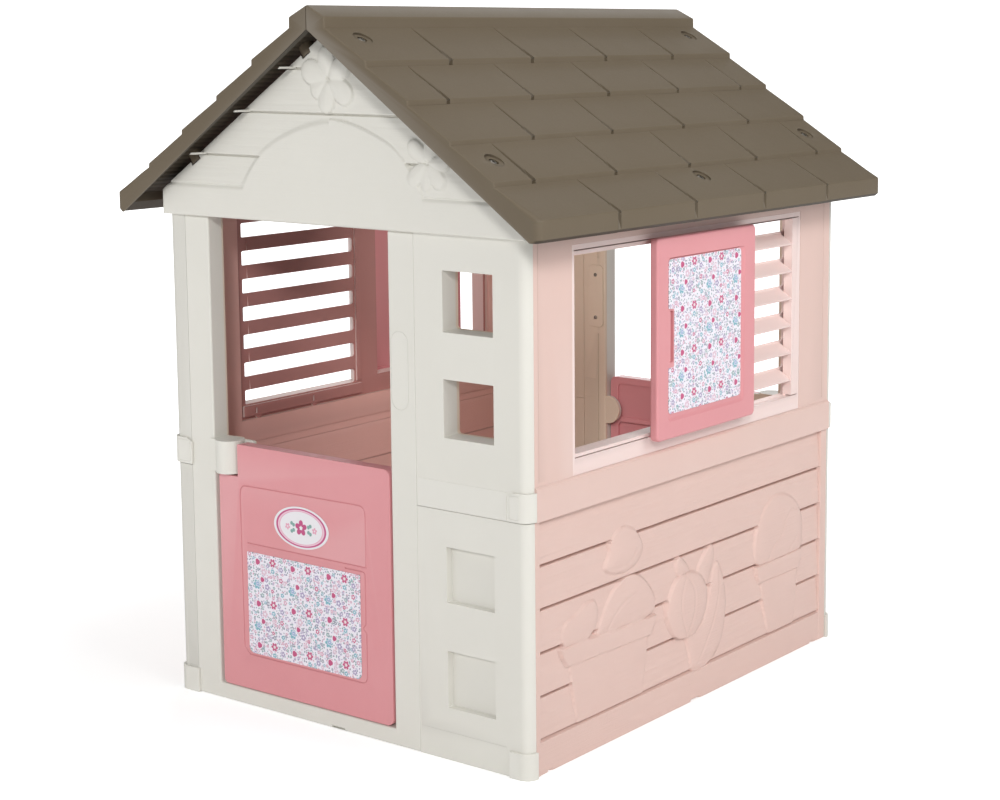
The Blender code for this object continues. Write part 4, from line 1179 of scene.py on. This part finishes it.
def window_frame():
    S0, S1 = OPEN_Z0 - 0.0070, OPEN_Z1 + 0.0060
    x0, x1 = WIN_LO.x, WIN_HI.x
    w = block("look_right_window_frame", x0, WIN_LO.y, WIN_LO.z, x1, WIN_HI.y, WIN_HI.z)
    cut(w, join([block("open_part", x0 - 0.01, OPEN_Y0, OPEN_Z0, x1 + 0.01, OPEN_Y1, OPEN_Z1),
                 block("louvre_part", x0 + 0.0040, LOUV_Y0, S0, x1 + 0.01, STILE_Y, S1)]))
    cut(w, block("louvre_deep", x0 + 0.0040, STILE_Y - 0.004, S0, x0 + 0.0120, LOUV_Y1, S1))
    # the middle post's side falls away outwards
    cut(w, prism("flare", [(x0 + 0.0042, LOUV_Y0 + 0.001), (x1 + 0.008, LOUV_Y0 + 0.001), (x1 + 0.008, LOUV_Y0 - 0.0260), (x0 + 0.0080, LOUV_Y0 - 0.0040)], "xy", S0, S1))
    pitch = (S1 - S0) / (2 * SLATS + 1)
    bevel(w, 0.0016, 3)
    # slots through the inner skin, with rounded corners
    slots = []
    for k in range(SLATS + 1):
        z0 = S0 + pitch * 2 * k
        slots.append(prism("slot%d" % k, round_rect(LOUV_Y0 + 0.002, z0 - 0.0004 * (k > 0), LOUV_Y1 - 0.0022, z0 + pitch + 0.0004 * (k < SLATS), 0.0055), "yz", x0 - 0.01, x0 + 0.012))
    cut(w, join(slots))
    # slats: wedges that lean out and down, mitred where they meet the stile
    for k in range(SLATS):
        zc = S0 + pitch * (2 * k + 1.5)
        out = x1 - 0.0012
        top, bot, nose_z = zc + 0.0122, zc - 0.0118, zc - 0.0088
        y0, y1 = LOUV_Y0 - 0.001, STILE_Y + 0.0006
        yn = LOUV_Y0 - 0.0235
        verts = [(x0 - 0.0002, y0 + 0.004, top), (out - 0.0030, yn, nose_z + 0.0030), (out, yn - 0.001, nose_z), (out - 0.0015, yn, nose_z - 0.0026), (x0 - 0.0034, y0 + 0.004, bot),
                 (x0 - 0.0002, y1 - 0.001, top), (out - 0.0030, y1, nose_z + 0.0030), (out, y1, nose_z), (out - 0.0015, y1, nose_z - 0.0026), (x0 - 0.0034, y1 - 0.001, bot)]
        m = 5
        faces = [tuple(range(m)), tuple(reversed(range(m, 2 * m)))] + [(i, i + m, (i + 1) % m + m, (i + 1) % m) for i in range(m)]
        s = from_arrays("slat%d" % k, verts, faces)
        bevel(s, 0.0007, 2, 20)
        add(w, s)
    tools = [block("track%d" % k, 0.4030, FRAME_Y0 + 0.0065, z + 0.0008, x1 + 0.01, FRAME_Y1 - 0.0065, z + 0.0028) for k, z in enumerate(LIP_Z)]
    cut(w, join(tools))
    # inside: a ledge under the louvres with its two little clips
    ledge = block("ledge", x0 - 0.0062, 0.0270, OPEN_Z0 - 0.0310, x0 + 0.002, LOUV_Y1 + 0.004, OPEN_Z0 - 0.0100)
    bevel(ledge, 0.0018, 3)
    add(w, ledge)
    marks = [block("mark%d" % i, x0 - 0.0070, y - 0.0024, OPEN_Z0 - 0.0260, x0 - 0.0026, y + 0.0024, OPEN_Z0 - 0.0155) for i, y in enumerate((0.169, 0.323))]
    cut(w, join(marks))
    for i, y in enumerate((0.164, 0.315)):
        t = prism("bracket%d" % i, [(y - 0.010, OPEN_Z0 - 0.0300), (y + 0.010, OPEN_Z0 - 0.0300), (y + 0.001, OPEN_Z0 - 0.0385), (y - 0.003, OPEN_Z0 - 0.0385)], "yz", x0 - 0.0045, x0 + 0.001)
        bevel(t, 0.0006, 2)
        add(w, t)
    # two stiffening steps down the inside of the middle post
    rib = block("rib", x0 - 0.0040, 0.0270, OPEN_Z0 - 0.0050, x0 + 0.002, 0.0400, OPEN_Z1 + 0.0060)
    bevel(rib, 0.0012, 3)
    add(w, rib)
    return shade(w)


both(window_frame(), "right_window_frame", "left_window_frame", M_LOUVRE)

# ------------------------------------------------------------------ shutter
PRINT_LO, PRINT_HI = B("right_shutter_print")
PULL_Z0, PULL_Z1, PULL_W = 0.6510, 0.7480, 0.0165


def print_outline(grow, r=0.008):
    a0, b0, a1, b1 = PRINT_LO.y - grow, PRINT_LO.z - grow, PRINT_HI.y + grow, PRINT_HI.z + grow
    q = 0.003
    return (arc(a1 - r, b0 + r, r, -90, 0, 8) + arc(a1 - r, b1 - r, r, 0, 90, 8) + arc(a0 + r, b1 - r, r, 90, 180, 8)
            + [(a0, PULL_Z1 - grow + q)] + arc(a0 + q, PULL_Z1 - grow + q, q, 180, 270, 3)[1:]
            + arc(a0 + PULL_W - q, PULL_Z1 - grow - q, q, 90, 0, 3) + arc(a0 + PULL_W - q, PULL_Z0 + grow + q, q, 0, -90, 3)
            + arc(a0 + q, PULL_Z0 + grow - q, q, 90, 180, 3)
            + arc(a0 + r, b0 + r, r, 180, 270, 8))


def shutter():
    s = prism("look_right_shutter", round_rect(SHUT_LO.y, SHUT_LO.z, SHUT_HI.y, SHUT_HI.z, 0.010, 8), "yz", 0.4290, SHUT_HI.x)
    bevel(s, 0.0042, 4)
    # the print's recess has a dished edge
    base = print_outline(0.0005)
    cy, cz = (PRINT_LO.y + PRINT_HI.y) / 2, (PRINT_LO.z + PRINT_HI.z) / 2

    def ring(t):
        """The recess's outline, let out by t of its full run-out: little on the left and top, wide on the right and below."""
        out = []
        for y, z in base:
            right = float(smooth((y - cy) / 0.080))
            down = float(smooth((cz - z) / 0.090))
            out.append((y + t * (0.0125 * right - 0.0018 * (1 - right) * (y < PRINT_LO.y + 0.008)),
                        z + t * (-0.0130 * down + 0.0022 * (1 - down) * (z > PRINT_HI.z - 0.012))))
        return out
    verts, m = [], len(base)
    levels = ((SHUT_HI.x + 0.004, 1.04), (SHUT_HI.x + 0.0001, 1.0), (SHUT_HI.x - 0.0020, 0.80), (SHUT_HI.x - 0.0036, 0.40), (SHUT_HI.x - 0.0021, 0.0))
    for x, t in levels:
        verts += [(x, y, z) for y, z in ring(t)]
    faces = [tuple(range(m)), tuple(reversed(range(4 * m, 5 * m)))]
    for k in range(4):
        faces += [(k * m + i, (k + 1) * m + i, (k + 1) * m + (i + 1) % m, k * m + (i + 1) % m) for i in range(m)]
    cut(s, from_arrays("recess", verts, faces))
    pull = prism("pull", round_rect(PRINT_LO.y + 0.0020, PULL_Z0 + 0.003, PRINT_LO.y + PULL_W - 0.0028, PULL_Z1 - 0.003, 0.003, 4), "yz", SHUT_HI.x - 0.0080, SHUT_HI.x + 0.01)
    cut(s, pull)
    lip = prism("pull_lip", round_rect(PRINT_LO.y + 0.0022, PULL_Z0 + 0.0040, PRINT_LO.y + 0.0062, PULL_Z1 - 0.0040, 0.0018, 4), "yz", SHUT_HI.x - 0.0100, SHUT_HI.x - 0.0008)
    bevel(lip, 0.0007, 2)
    add(s, lip)
    for k, z in enumerate(LIP_Z):
        t = block("lip%d" % k, SHUT_LO.x, SHUT_LO.y + 0.018, z + 0.0011, 0.4330, SHUT_HI.y - 0.018, z + 0.0025)
        bevel(t, 0.0003, 2)
        add(s, t)
    # back: a shallow pan inside the rim
    pan = prism("pan", round_rect(SHUT_LO.y + 0.008, 0.5305, SHUT_HI.y - 0.008, 0.8600, 0.008, 6), "yz", 0.4280, 0.4330)
    cut(s, pan)
    return shade(s)


SLIDE = B("left_shutter")[0].y + SHUT_HI.y
both(shutter(), "right_shutter", "left_shutter", M_DEEP, "right_shutter", "left_shutter", SLIDE)
label = prism("look_right_shutter_print", print_outline(0), "yz", PRINT_LO.x, PRINT_HI.x)
bevel(label, 0.00025, 2, 50)
shade(label)
both(label, "right_shutter_print", "left_shutter_print", M_PRINT, "right_shutter", "left_shutter", SLIDE)

# ------------------------------------------------------------------ half door
NOTCH_X, NOTCH_Z = -0.2510, 0.4270


def half_door():
    R = 0.014
    x0, x1, z0, z1 = DOOR_LO.x, DOOR_HI.x, DOOR_LO.z, DOOR_HI.z
    y0, y1 = DOOR_LO.y, DOOR_HI.y
    outline = (arc(x0 + 0.008, z0 + 0.008, 0.008, 180, 270, 8) + arc(x1 - R, z0 + R, R, -90, 0, 10)
               + arc(x1 - R, z1 - R, R, 0, 90, 10) + arc(NOTCH_X + 0.003, z1 - 0.003, 0.003, 90, 180, 4)
               + [(NOTCH_X, NOTCH_Z), (x0 + 0.001, NOTCH_Z)])
    d = prism("look_front_door", outline, "xz", y0, y1)
    bevel_by(d, 0.0100, 7, lambda c: 1.0 if c.z > z1 - 0.030 and c.x > NOTCH_X + 0.004 else 0.36)
    cut(d, rod("top_seat", HINGE_X, HINGE_Y, PIN_R + GAP, NOTCH_Z - 0.040, NOTCH_Z + 0.01, 24),
        rod("bottom_seat", HINGE_X, HINGE_Y, PIN_R + GAP, z0 - 0.01, z0 + 0.040, 24))
    g = 0.0015
    outer = fillet([(-0.2330, 0.1000), (-0.2440, 0.1120), (-0.2460, 0.4130), (0.0600, 0.4160), (0.0600, 0.3080)], (0, 0.010, 0.018, 0.018, 0), 8)
    mid = fillet([(0.0615, 0.3075), (-0.2300, 0.3075)], (0, 0))
    box_line = fillet([(0.0100, 0.2990), (0.0575, 0.2990), (0.0575, 0.2050), (0.0512, 0.1972), (0.0590, 0.1890), (0.0590, 0.0985), (-0.2320, 0.0985)],
                      (0, 0.008, 0.003, 0.002, 0.004, 0.014, 0), 6)
    cut(d, tube("outer", outer, g, "xz", y0 + 0.0001, n=8),
        tube("mid", mid, g * 0.9, "xz", y0 + 0.0001, n=8),
        tube("boxl", box_line, g, "xz", y0 + 0.0001, n=8))
    # inside face: a shallow pan and its step lines
    pan = prism("pan", round_rect(x0 + 0.052, z0 + 0.022, x1 - 0.020, 0.3900, 0.010, 6), "xz", y1 - 0.0050, y1 + 0.01)
    pan2 = prism("pan2", round_rect(x0 + 0.060, 0.4000, x1 - 0.020, z1 - 0.014, 0.008, 6), "xz", y1 - 0.0030, y1 + 0.01)
    cut(d, pan, pan2)
    return shade(d)


both(half_door(), "front_door", "back_door", M_DEEP, "front_door", "back_door")
FILM_LO, FILM_HI = B("front_door_print")
film = (arc(FILM_HI.x - 0.012, FILM_LO.z + 0.012, 0.012, -90, 0, 10) + arc(FILM_HI.x - 0.002, FILM_HI.z - 0.002, 0.002, 0, 90, 4)
        + arc(FILM_LO.x + 0.002, FILM_HI.z - 0.002, 0.002, 90, 180, 4) + arc(FILM_LO.x + 0.012, FILM_LO.z + 0.012, 0.012, 180, 270, 10))
label = prism("look_front_door_print", film, "xz", FILM_LO.y, FILM_HI.y)
bevel(label, 0.0002, 2, 50)
shade(label)
both(label, "front_door_print", "back_door_print", M_PRINT, "front_door", "back_door")
BADGE_LO, BADGE_HI = B("front_door_badge")
bc, bh = (BADGE_LO + BADGE_HI) / 2, (BADGE_HI - BADGE_LO) / 2
M_BADGE = badge_print(bc.x, bc.z, bh.x, bh.z)
label = prism("look_front_door_badge", [(bc.x + bh.x * math.cos(2 * math.pi * i / 96), bc.z + bh.z * math.sin(2 * math.pi * i / 96)) for i in range(96)],
              "xz", BADGE_LO.y, BADGE_HI.y)
bevel(label, 0.0002, 2, 50)
shade(label)
both(label, "front_door_badge", "back_door_badge", M_BADGE, "front_door", "back_door")

# ------------------------------------------------------------------ roof half
PAN_DEPTH, LIP_Y, LIP_X, BOSS_R, BOSS_DROP = 0.015, 0.014, 0.4550, 0.0105, 0.0080


def roof_half():
    path = [(0.00002, RIDGE_Z - 0.0004), (0.0410, 1.2500), (0.0412, 1.2320)]
    radii = [0, 0.0045, 0.0012]
    for i, (x0, z0, x1, z1) in enumerate(COURSES):
        if i:
            path.append((x0 + 0.0002, z0))
            radii.append(0.0012)
        path.append((x1, z1))
        radii.append(0.0042)
    path += [(ROOF_X, EAVE_Z0 + 0.0050), (ROOF_X - 0.006, EAVE_Z0)]
    radii += [0.003, 0]
    dense = fillet(path, radii, 5)
    # a few extra samples along each flat, for the tiles' slight bow
    prof = [dense[0]]
    for a, b in zip(dense, dense[1:]):
        length = math.hypot(b[0] - a[0], b[1] - a[1])
        n = max(1, int(length / 0.022)) if length > 0.03 else 1
        for k in range(1, n + 1):
            prof.append((a[0] + (b[0] - a[0]) * k / n, a[1] + (b[1] - a[1]) * k / n))
    top = len(prof)
    prof += [((V_Z - EAVE_Z0) / V_SLOPE, EAVE_Z0), (0.00002, V_Z)]
    P = np.array(prof)
    joints = sorted(set([round((-1.5 + k) * TILE, 5) for k in range(4)] + [round((-2 + k) * TILE, 5) for k in range(5)]))
    offs = (0.016, 0.0095, 0.0062, 0.0046, 0.0036, 0.0029, 0.0023, 0.0017, 0.0011, 0.0005)
    ys = set()
    for j in joints:
        for o in offs:
            ys.update((round(j - o, 6), round(j + o, 6)))
        ys.add(round(j + 0.036, 6))
        ys.add(round(j - 0.036, 6))
    R = 0.013
    for t in np.linspace(0, 90, 10):
        ys.update((round(ROOF_Y - R + R * math.sin(math.radians(t)), 6), round(-(ROOF_Y - R + R * math.sin(math.radians(t))), 6)))
    for t in (0.0030, 0.0021, 0.0013, 0.0006, 0.0002):
        ys.update((round(ROOF_Y - t, 6), round(-(ROOF_Y - t), 6)))
    ys = np.array(sorted(y for y in ys if abs(y) <= ROOF_Y + 1e-6))
    keep = [ys[0]]
    for y in ys[1:]:
        if y - keep[-1] > 0.00012:
            keep.append(y)
    ys = np.array(keep)
    ys[0], ys[-1] = -ROOF_Y, ROOF_Y
    # outward normals of the top path
    N = np.zeros_like(P)
    for i in range(top):
        a, b = P[max(0, i - 1)], P[min(top - 1, i + 1)]
        t = (b - a) / np.linalg.norm(b - a)
        N[i] = (-t[1], t[0])
    verts = []
    rnd = np.random.RandomState(11)
    offset = rnd.uniform(-0.0006, 0.0004, (6, 8))
    tilt = rnd.uniform(-0.0007, 0.0007, (6, 8))
    row_of = []
    for i in range(len(P)):
        x, z = P[i]
        row = -1
        if i < top:
            for r, (x0, z0, x1, z1) in enumerate(COURSES):
                if x > x0 + 0.0006 and x <= x1 + 0.0005 and not (r == 0 and z > 1.2335):
                    row = r
            if x < 0.0418 and z > 1.2325:
                row = -1
        row_of.append(row)
    for y in ys:
        for i in range(len(P)):
            x, z = P[i]
            row = row_of[i]
            d = 0.0
            if i < top and row >= 0:
                x0, z0, x1, z1 = COURSES[row]
                first = -1.5 if row % 2 == 0 else -2.0
                f = y / TILE - first
                near = abs(f - round(f)) * TILE
                is_joint = 0 <= round(f) < (4 if row % 2 == 0 else 5)
                s = min(1.0, max(0.0, (x - x0) / (x1 - x0)))
                head = smooth((s - 0.02) / 0.05)
                k = int(math.floor(f)) + 2
                tile_mid = f - math.floor(f) - 0.5
                d += (offset[row, k % 8] + tilt[row, k % 8] * tile_mid) * smooth((s - 0.1) / 0.5)
                if is_joint:
                    # the joint opens and deepens towards the nose and ends in a small notch
                    half = 0.0013 + 0.0010 * s + (0.0014 * smooth((s - 0.90) / 0.08))
                    depth = 0.0052 + 0.0040 * s
                    groove = depth * min(1.0, max(0.0, (half + 0.0007 - near) / 0.0007))
                    roll = 0.0008 * max(0.0, 1 - near / 0.0075) ** 2
                    drop = 1.0
                    if row == 4 and z < z1 - 0.004:
                        drop = max(0.0, 1 - (z1 - 0.004 - z) / 0.008)
                    d -= (float(groove) + roll) * float(head) * drop
            if i < top:
                x += N[i, 0] * d
                z += N[i, 1] * d
            # rounded gable-end edges and rounded eave corners in plan
            e = abs(y) - (ROOF_Y - 0.0030)
            if e > 0:
                q = min(1.0, e / 0.0030)
                fall = 0.0030 * (1 - math.sqrt(max(0.0, 1 - q * q)))
                if i < top:
                    x -= N[i, 0] * fall * 0.8
                    z -= N[i, 1] * fall * 0.8
            e = abs(y) - (ROOF_Y - R)
            if e > 0:
                limit = ROOF_X - R + math.sqrt(max(0.0, R * R - e * e))
                w = float(smooth((x - (ROOF_X - 0.075)) / 0.075)) if x < ROOF_X else 1.0
                x = x - (ROOF_X - limit) * w
            verts.append((min(max(x, 0.00002), ROOF_X), y, min(z, RIDGE_Z)))
    m = len(P)
    faces = []
    for j in range(len(ys) - 1):
        for i in range(m):
            k = (i + 1) % m
            faces.append((j * m + i, j * m + k, (j + 1) * m + k, (j + 1) * m + i))
    faces.append(tuple(range(m - 1, -1, -1)))
    last = (len(ys) - 1) * m
    faces.append(tuple(last + i for i in range(m)))
    roof = from_arrays("look_roof_right", verts, faces)
    # the corrugated underside, set back inside the fascia lip
    v = lambda x: V_Z - V_SLOPE * x
    # the halves' meeting edges are eased at the gable ends, so the seam shows
    cut(roof, join([block("seam%d" % k, -0.001, k * (ROOF_Y + 0.002) - 0.0055, V_Z - 0.02, 0.0009, k * (ROOF_Y + 0.002) + 0.0055, RIDGE_Z + 0.01) for k in (-1, 1)]))
    xs, zs = [], []
    pitch = 0.0138 * math.cos(TILT)
    line = []
    x = 0.006
    while x < LIP_X - pitch:
        base = v(x) + PAN_DEPTH
        line += [(x, base), (x + pitch * 0.30, v(x + pitch * 0.30) + PAN_DEPTH),
                 (x + pitch * 0.42, v(x + pitch * 0.42) + PAN_DEPTH - 0.0016), (x + pitch * 0.88, v(x + pitch * 0.88) + PAN_DEPTH - 0.0016)]
        x += pitch
    line.append((LIP_X, v(LIP_X) + PAN_DEPTH))
    pan = prism("pan", [(0.006, v(0.006) - 0.012), (LIP_X, v(LIP_X) - 0.03)] + list(reversed(line)), "xz", -ROOF_Y + LIP_Y, ROOF_Y - LIP_Y)
    cut(roof, pan)
    bosses = []
    for x, y in SCREWS:
        bosses.append(bore_tool("boss", x, y, BOSS_R + (0.0035 if y else 0.0), -0.012, -under_depth(x) - (BOSS_DROP if y else 0.0)))
    add(roof, join(bosses))
    tools = []
    for x, y in SCREWS:
        # a round seat cut flatter than the roof: its uphill side leaves a crescent
        t = rod("seat", 0, 0, 0.0180, 0.0, 0.03, 56)
        lean = math.radians(8.5)
        t.data.transform(Matrix.Translation((x, y, roof_height(x))) @ Matrix.Rotation(TILT, 4, "Y")
                         @ Matrix.Translation((0.0, 0, -0.0024)) @ Matrix.Rotation(-lean, 4, "Y"))
        tools.append(t)
    cut(roof, join(tools))
    tools = []
    for x, y in SCREWS:
        t = bore_tool("counterbore", x, y, 0.0088, 0.02, -0.0064)
        tools.append(t)
    cut(roof, join(tools))
    cut(roof, join([bore_tool("bore", x, y, 0.0033, 0.0, -0.06, 1, 20) for x, y in SCREWS]))
    return shade(roof, 34, False)


both(roof_half(), "roof_right", "roof_left", M_TAUPE)


# ------------------------------------------------------------------ screws, pins, plates
def screw_mesh(name, head_r, head_h, shank_r, length):
    n = 40
    dome = [(head_r, head_h * 0.25), (head_r * 0.97, head_h * 0.48), (head_r * 0.86, head_h * 0.74), (head_r * 0.62, head_h * 0.94), (head_r * 0.3, head_h), (0, head_h)]
    outline = [(0, -length), (shank_r * 0.35, -length + 0.0005), (shank_r * 0.8, -length + shank_r * 1.6), (shank_r, -length + shank_r * 2.4), (shank_r, 0),
               (head_r * 0.97, 0), (head_r, head_h * 0.08)] + dome
    bm = bmesh.new()
    rings = []
    for r, z in outline:
        rings.append([bm.verts.new((0, 0, z))] if r == 0 else
                     [bm.verts.new((r * math.cos(2 * math.pi * i / n), r * math.sin(2 * math.pi * i / n), z)) for i in range(n)])
    for a, b in zip(rings, rings[1:]):
        for i in range(n):
            j = (i + 1) % n
            if len(a) == 1:
                bm.faces.new((a[0], b[j], b[i]))
            elif len(b) == 1:
                bm.faces.new((a[i], a[j], b[0]))
            else:
                bm.faces.new((a[i], a[j], b[j], b[i]))
    s = from_bm(name, bm)
    w, l = head_r * 0.17, head_r * 0.58
    cross = prism("cross", [(w, w), (l, w), (l, -w), (w, -w), (w, -l), (-w, -l), (-w, -w), (-l, -w), (-l, w), (-w, w), (-w, l), (w, l)], "xy", head_h * 0.35, head_h + 0.002)
    cut(s, cross)
    return shade(s, 35)


pattern = screw_mesh("screw_pattern", 0.0070, 0.0035, 0.0030, 0.0440)
for label, (x, y) in zip(SCREW_NAMES, SCREWS):
    for hand, side in (("right", 1), ("left", -1)):
        node = "roof_screw_%s_%s" % (hand, label)
        s = link("look_" + node, pattern.data.copy())
        s.data.transform(Matrix.Translation(Vector((side * x, y, roof_height(x))) + Vector((side * NORMAL.x, 0, NORMAL.z)) * -0.0060)
                         @ Matrix.Rotation(side * TILT, 4, "Y") @ Matrix.Rotation(0.6 * x * 10 + y, 4, "Z"))
        stand(s, node, M_STEEL)
bpy.data.objects.remove(pattern, do_unlink=True)

pattern = screw_mesh("plate_screw_pattern", 0.0040, 0.0018, 0.0020, 0.0160)
for k, z in enumerate((0.615, 0.707)):
    s = link("look_front_plate_screw_%d" % (k + 1), pattern.data.copy())
    s.data.transform(Matrix.Translation((0.1440, Y1 + 0.0033 + GAP, z)) @ Matrix.Rotation(-math.pi / 2, 4, "X"))
    both(s, "front_plate_screw_%d" % (k + 1), "back_plate_screw_%d" % (k + 1), M_STEEL)
bpy.data.objects.remove(pattern, do_unlink=True)

plate = prism("look_front_jamb_plate", round_rect(0.125, 0.594, 0.163, 0.728, 0.010, 8), "xz", Y1 + GAP, Y1 + 0.0033)
bevel(plate, 0.0008, 3, 50)
tools = []
for z in (0.615, 0.707):
    t = rod("hole", 0, 0, 0.0023, 0, 0.020, 20)
    t.data.transform(Matrix.Translation((0.1440, Y1 - 0.010, z)) @ Matrix.Rotation(-math.pi / 2, 4, "X"))
    tools.append(t)
cut(plate, join(tools))
shade(plate)
both(plate, "front_jamb_plate", "back_jamb_plate", M_CREAM)

for end in ("top", "bottom"):
    lo, hi = B("front_hinge_pin_" + end)
    pin = rod("look_front_hinge_pin_" + end, HINGE_X, HINGE_Y, PIN_R, lo.z, hi.z, 40)
    bevel(pin, 0.0008, 3, 50)
    shade(pin)
    both(pin, "front_hinge_pin_" + end, "back_hinge_pin_" + end, M_DEEP, "front_door", "back_door")

# ------------------------------------------------------------------ floor, light, camera
floor_mat = Nodes("studio_floor")
fp = floor_mat.coords()
floor_mat.put(floor_mat.bsdf.inputs["Base Color"],
              floor_mat.mix(floor_mat.noise(fp, 1.5, 3.0), (0.905, 0.905, 0.905, 1), (0.92, 0.92, 0.92, 1)))
floor_mat.bsdf.inputs["Roughness"].default_value = 0.65
floor_mat.bsdf.inputs["Specular IOR Level"].default_value = 0.25
floor_mat.put(floor_mat.bsdf.inputs["Normal"], floor_mat.bump(floor_mat.noise(fp, 300.0, 2.0), 0.05, 0.0005))
floor_mat.bsdf.inputs["Emission Color"].default_value = (1, 1, 1, 1)
seen = floor_mat.new("ShaderNodeLightPath").outputs["Is Camera Ray"]
floor_mat.put(floor_mat.bsdf.inputs["Emission Strength"], floor_mat.math("ADD", 0.02, floor_mat.math("MULTIPLY", seen, 0.34)))
far = floor_mat.new("ShaderNodeEmission")
floor_mat.put(far.inputs["Strength"], floor_mat.math("ADD", 0.97, floor_mat.math("MULTIPLY", seen, 0.62)))
fade = floor_mat.new("ShaderNodeMixShader")
dist = floor_mat.vec("LENGTH", floor_mat.coords())
floor_mat.put(fade.inputs[0], floor_mat.step(dist, 0.80, 2.0))
floor_mat.t.links.new(floor_mat.bsdf.outputs[0], fade.inputs[1])
floor_mat.t.links.new(far.outputs[0], fade.inputs[2])
floor_mat.t.links.new(fade.outputs[0], floor_mat.t.nodes["Material Output"].inputs["Surface"])
S = 14.0
floor = from_arrays("studio_floor", [(-S, -S, 0), (S, -S, 0), (S, S, 0), (-S, S, 0)], [(0, 1, 2, 3)])
floor.data.materials.append(floor_mat.mat)

world = bpy.data.worlds.new("studio")
bpy.context.scene.world = world
world.use_nodes = True
wt = world.node_tree
bg = wt.nodes["Background"]
lp = wt.nodes.new("ShaderNodeLightPath")
bg2 = wt.nodes.new("ShaderNodeBackground")
mixs = wt.nodes.new("ShaderNodeMixShader")
bg.inputs["Color"].default_value = (1.0, 1.0, 1.0, 1)
bg.inputs["Strength"].default_value = 0.27
bg2.inputs["Color"].default_value = (1.0, 1.0, 1.0, 1)
bg2.inputs["Strength"].default_value = 1.35
wt.links.new(lp.outputs["Is Camera Ray"], mixs.inputs[0])
wt.links.new(bg.outputs[0], mixs.inputs[1])
wt.links.new(bg2.outputs[0], mixs.inputs[2])
wt.links.new(mixs.outputs[0], wt.nodes["World Output"].inputs["Surface"])


def area(name, toward, distance, size, power, colour=(1, 1, 1), target=(0, 0, 0.55)):
    d = Vector(toward).normalized()
    light = bpy.data.lights.new(name, "AREA")
    light.shape = "DISK"
    light.size = size
    light.energy = power
    light.color = colour
    ob = bpy.data.objects.new(name, light)
    bpy.context.scene.collection.objects.link(ob)
    ob.location = Vector(target) + d * distance
    ob.rotation_euler = (-d).to_track_quat("-Z", "Y").to_euler()
    return ob


sun = bpy.data.lights.new("key", "SUN")
sun.energy = 1.30
sun.angle = math.radians(11.0)
sun.color = (1.0, 1.0, 0.995)
sun_ob = bpy.data.objects.new("key", sun)
bpy.context.scene.collection.objects.link(sun_ob)
sun_ob.rotation_euler = (-Vector((0.74, -1.0, 0.60)).normalized()).to_track_quat("-Z", "Y").to_euler()
for light in (area("fill_right", (1.0, -0.12, 0.62), 3.0, 2.0, 33.0),
              area("fill_left", (-0.42, -1.0, 0.13), 3.0, 1.8, 10.0),
              area("fill_top", (0.10, -0.10, 1.0), 3.0, 2.2, 17.0),
              area("fill_back", (-0.70, 1.0, 0.45), 3.0, 2.2, 24.0),
              area("room", (0.36, -1.0, 0.36), 0.56, 0.34, 1.35, (1.0, 0.95, 0.90), (-0.15, 0.456, 0.62))):
    light.visible_camera = False

cam = bpy.data.cameras.new("camera")
cam.sensor_width = 36.0
cam.sensor_fit = "HORIZONTAL"
cam.lens = 1995.466 * 36.0 / 1000.0
cam.shift_x = (500.0 - 626.499) / 1000.0
cam.shift_y = (306.424 - 400.0) / 1000.0
cam.clip_start, cam.clip_end = 0.05, 60.0
cam_ob = bpy.data.objects.new("camera", cam)
bpy.context.scene.collection.objects.link(cam_ob)
az, el, roll = math.radians(35.4723), math.radians(7.9915), math.radians(-0.031)
fwd = Vector((-math.sin(az) * math.cos(el), math.cos(az) * math.cos(el), -math.sin(el)))
right = Vector((math.cos(az), math.sin(az), 0))
upv = right.cross(fwd)
r2 = right * math.cos(roll) + upv * math.sin(roll)
u2 = -right * math.sin(roll) + upv * math.cos(roll)
m = Matrix((r2, u2, -fwd)).transposed().to_4x4()
m.translation = Vector((2.37383, -2.96602, 1.23435))
cam_ob.matrix_world = m
bpy.context.scene.camera = cam_ob
bpy.context.scene.view_settings.view_transform = "Standard"
bpy.context.scene.view_settings.look = "None"
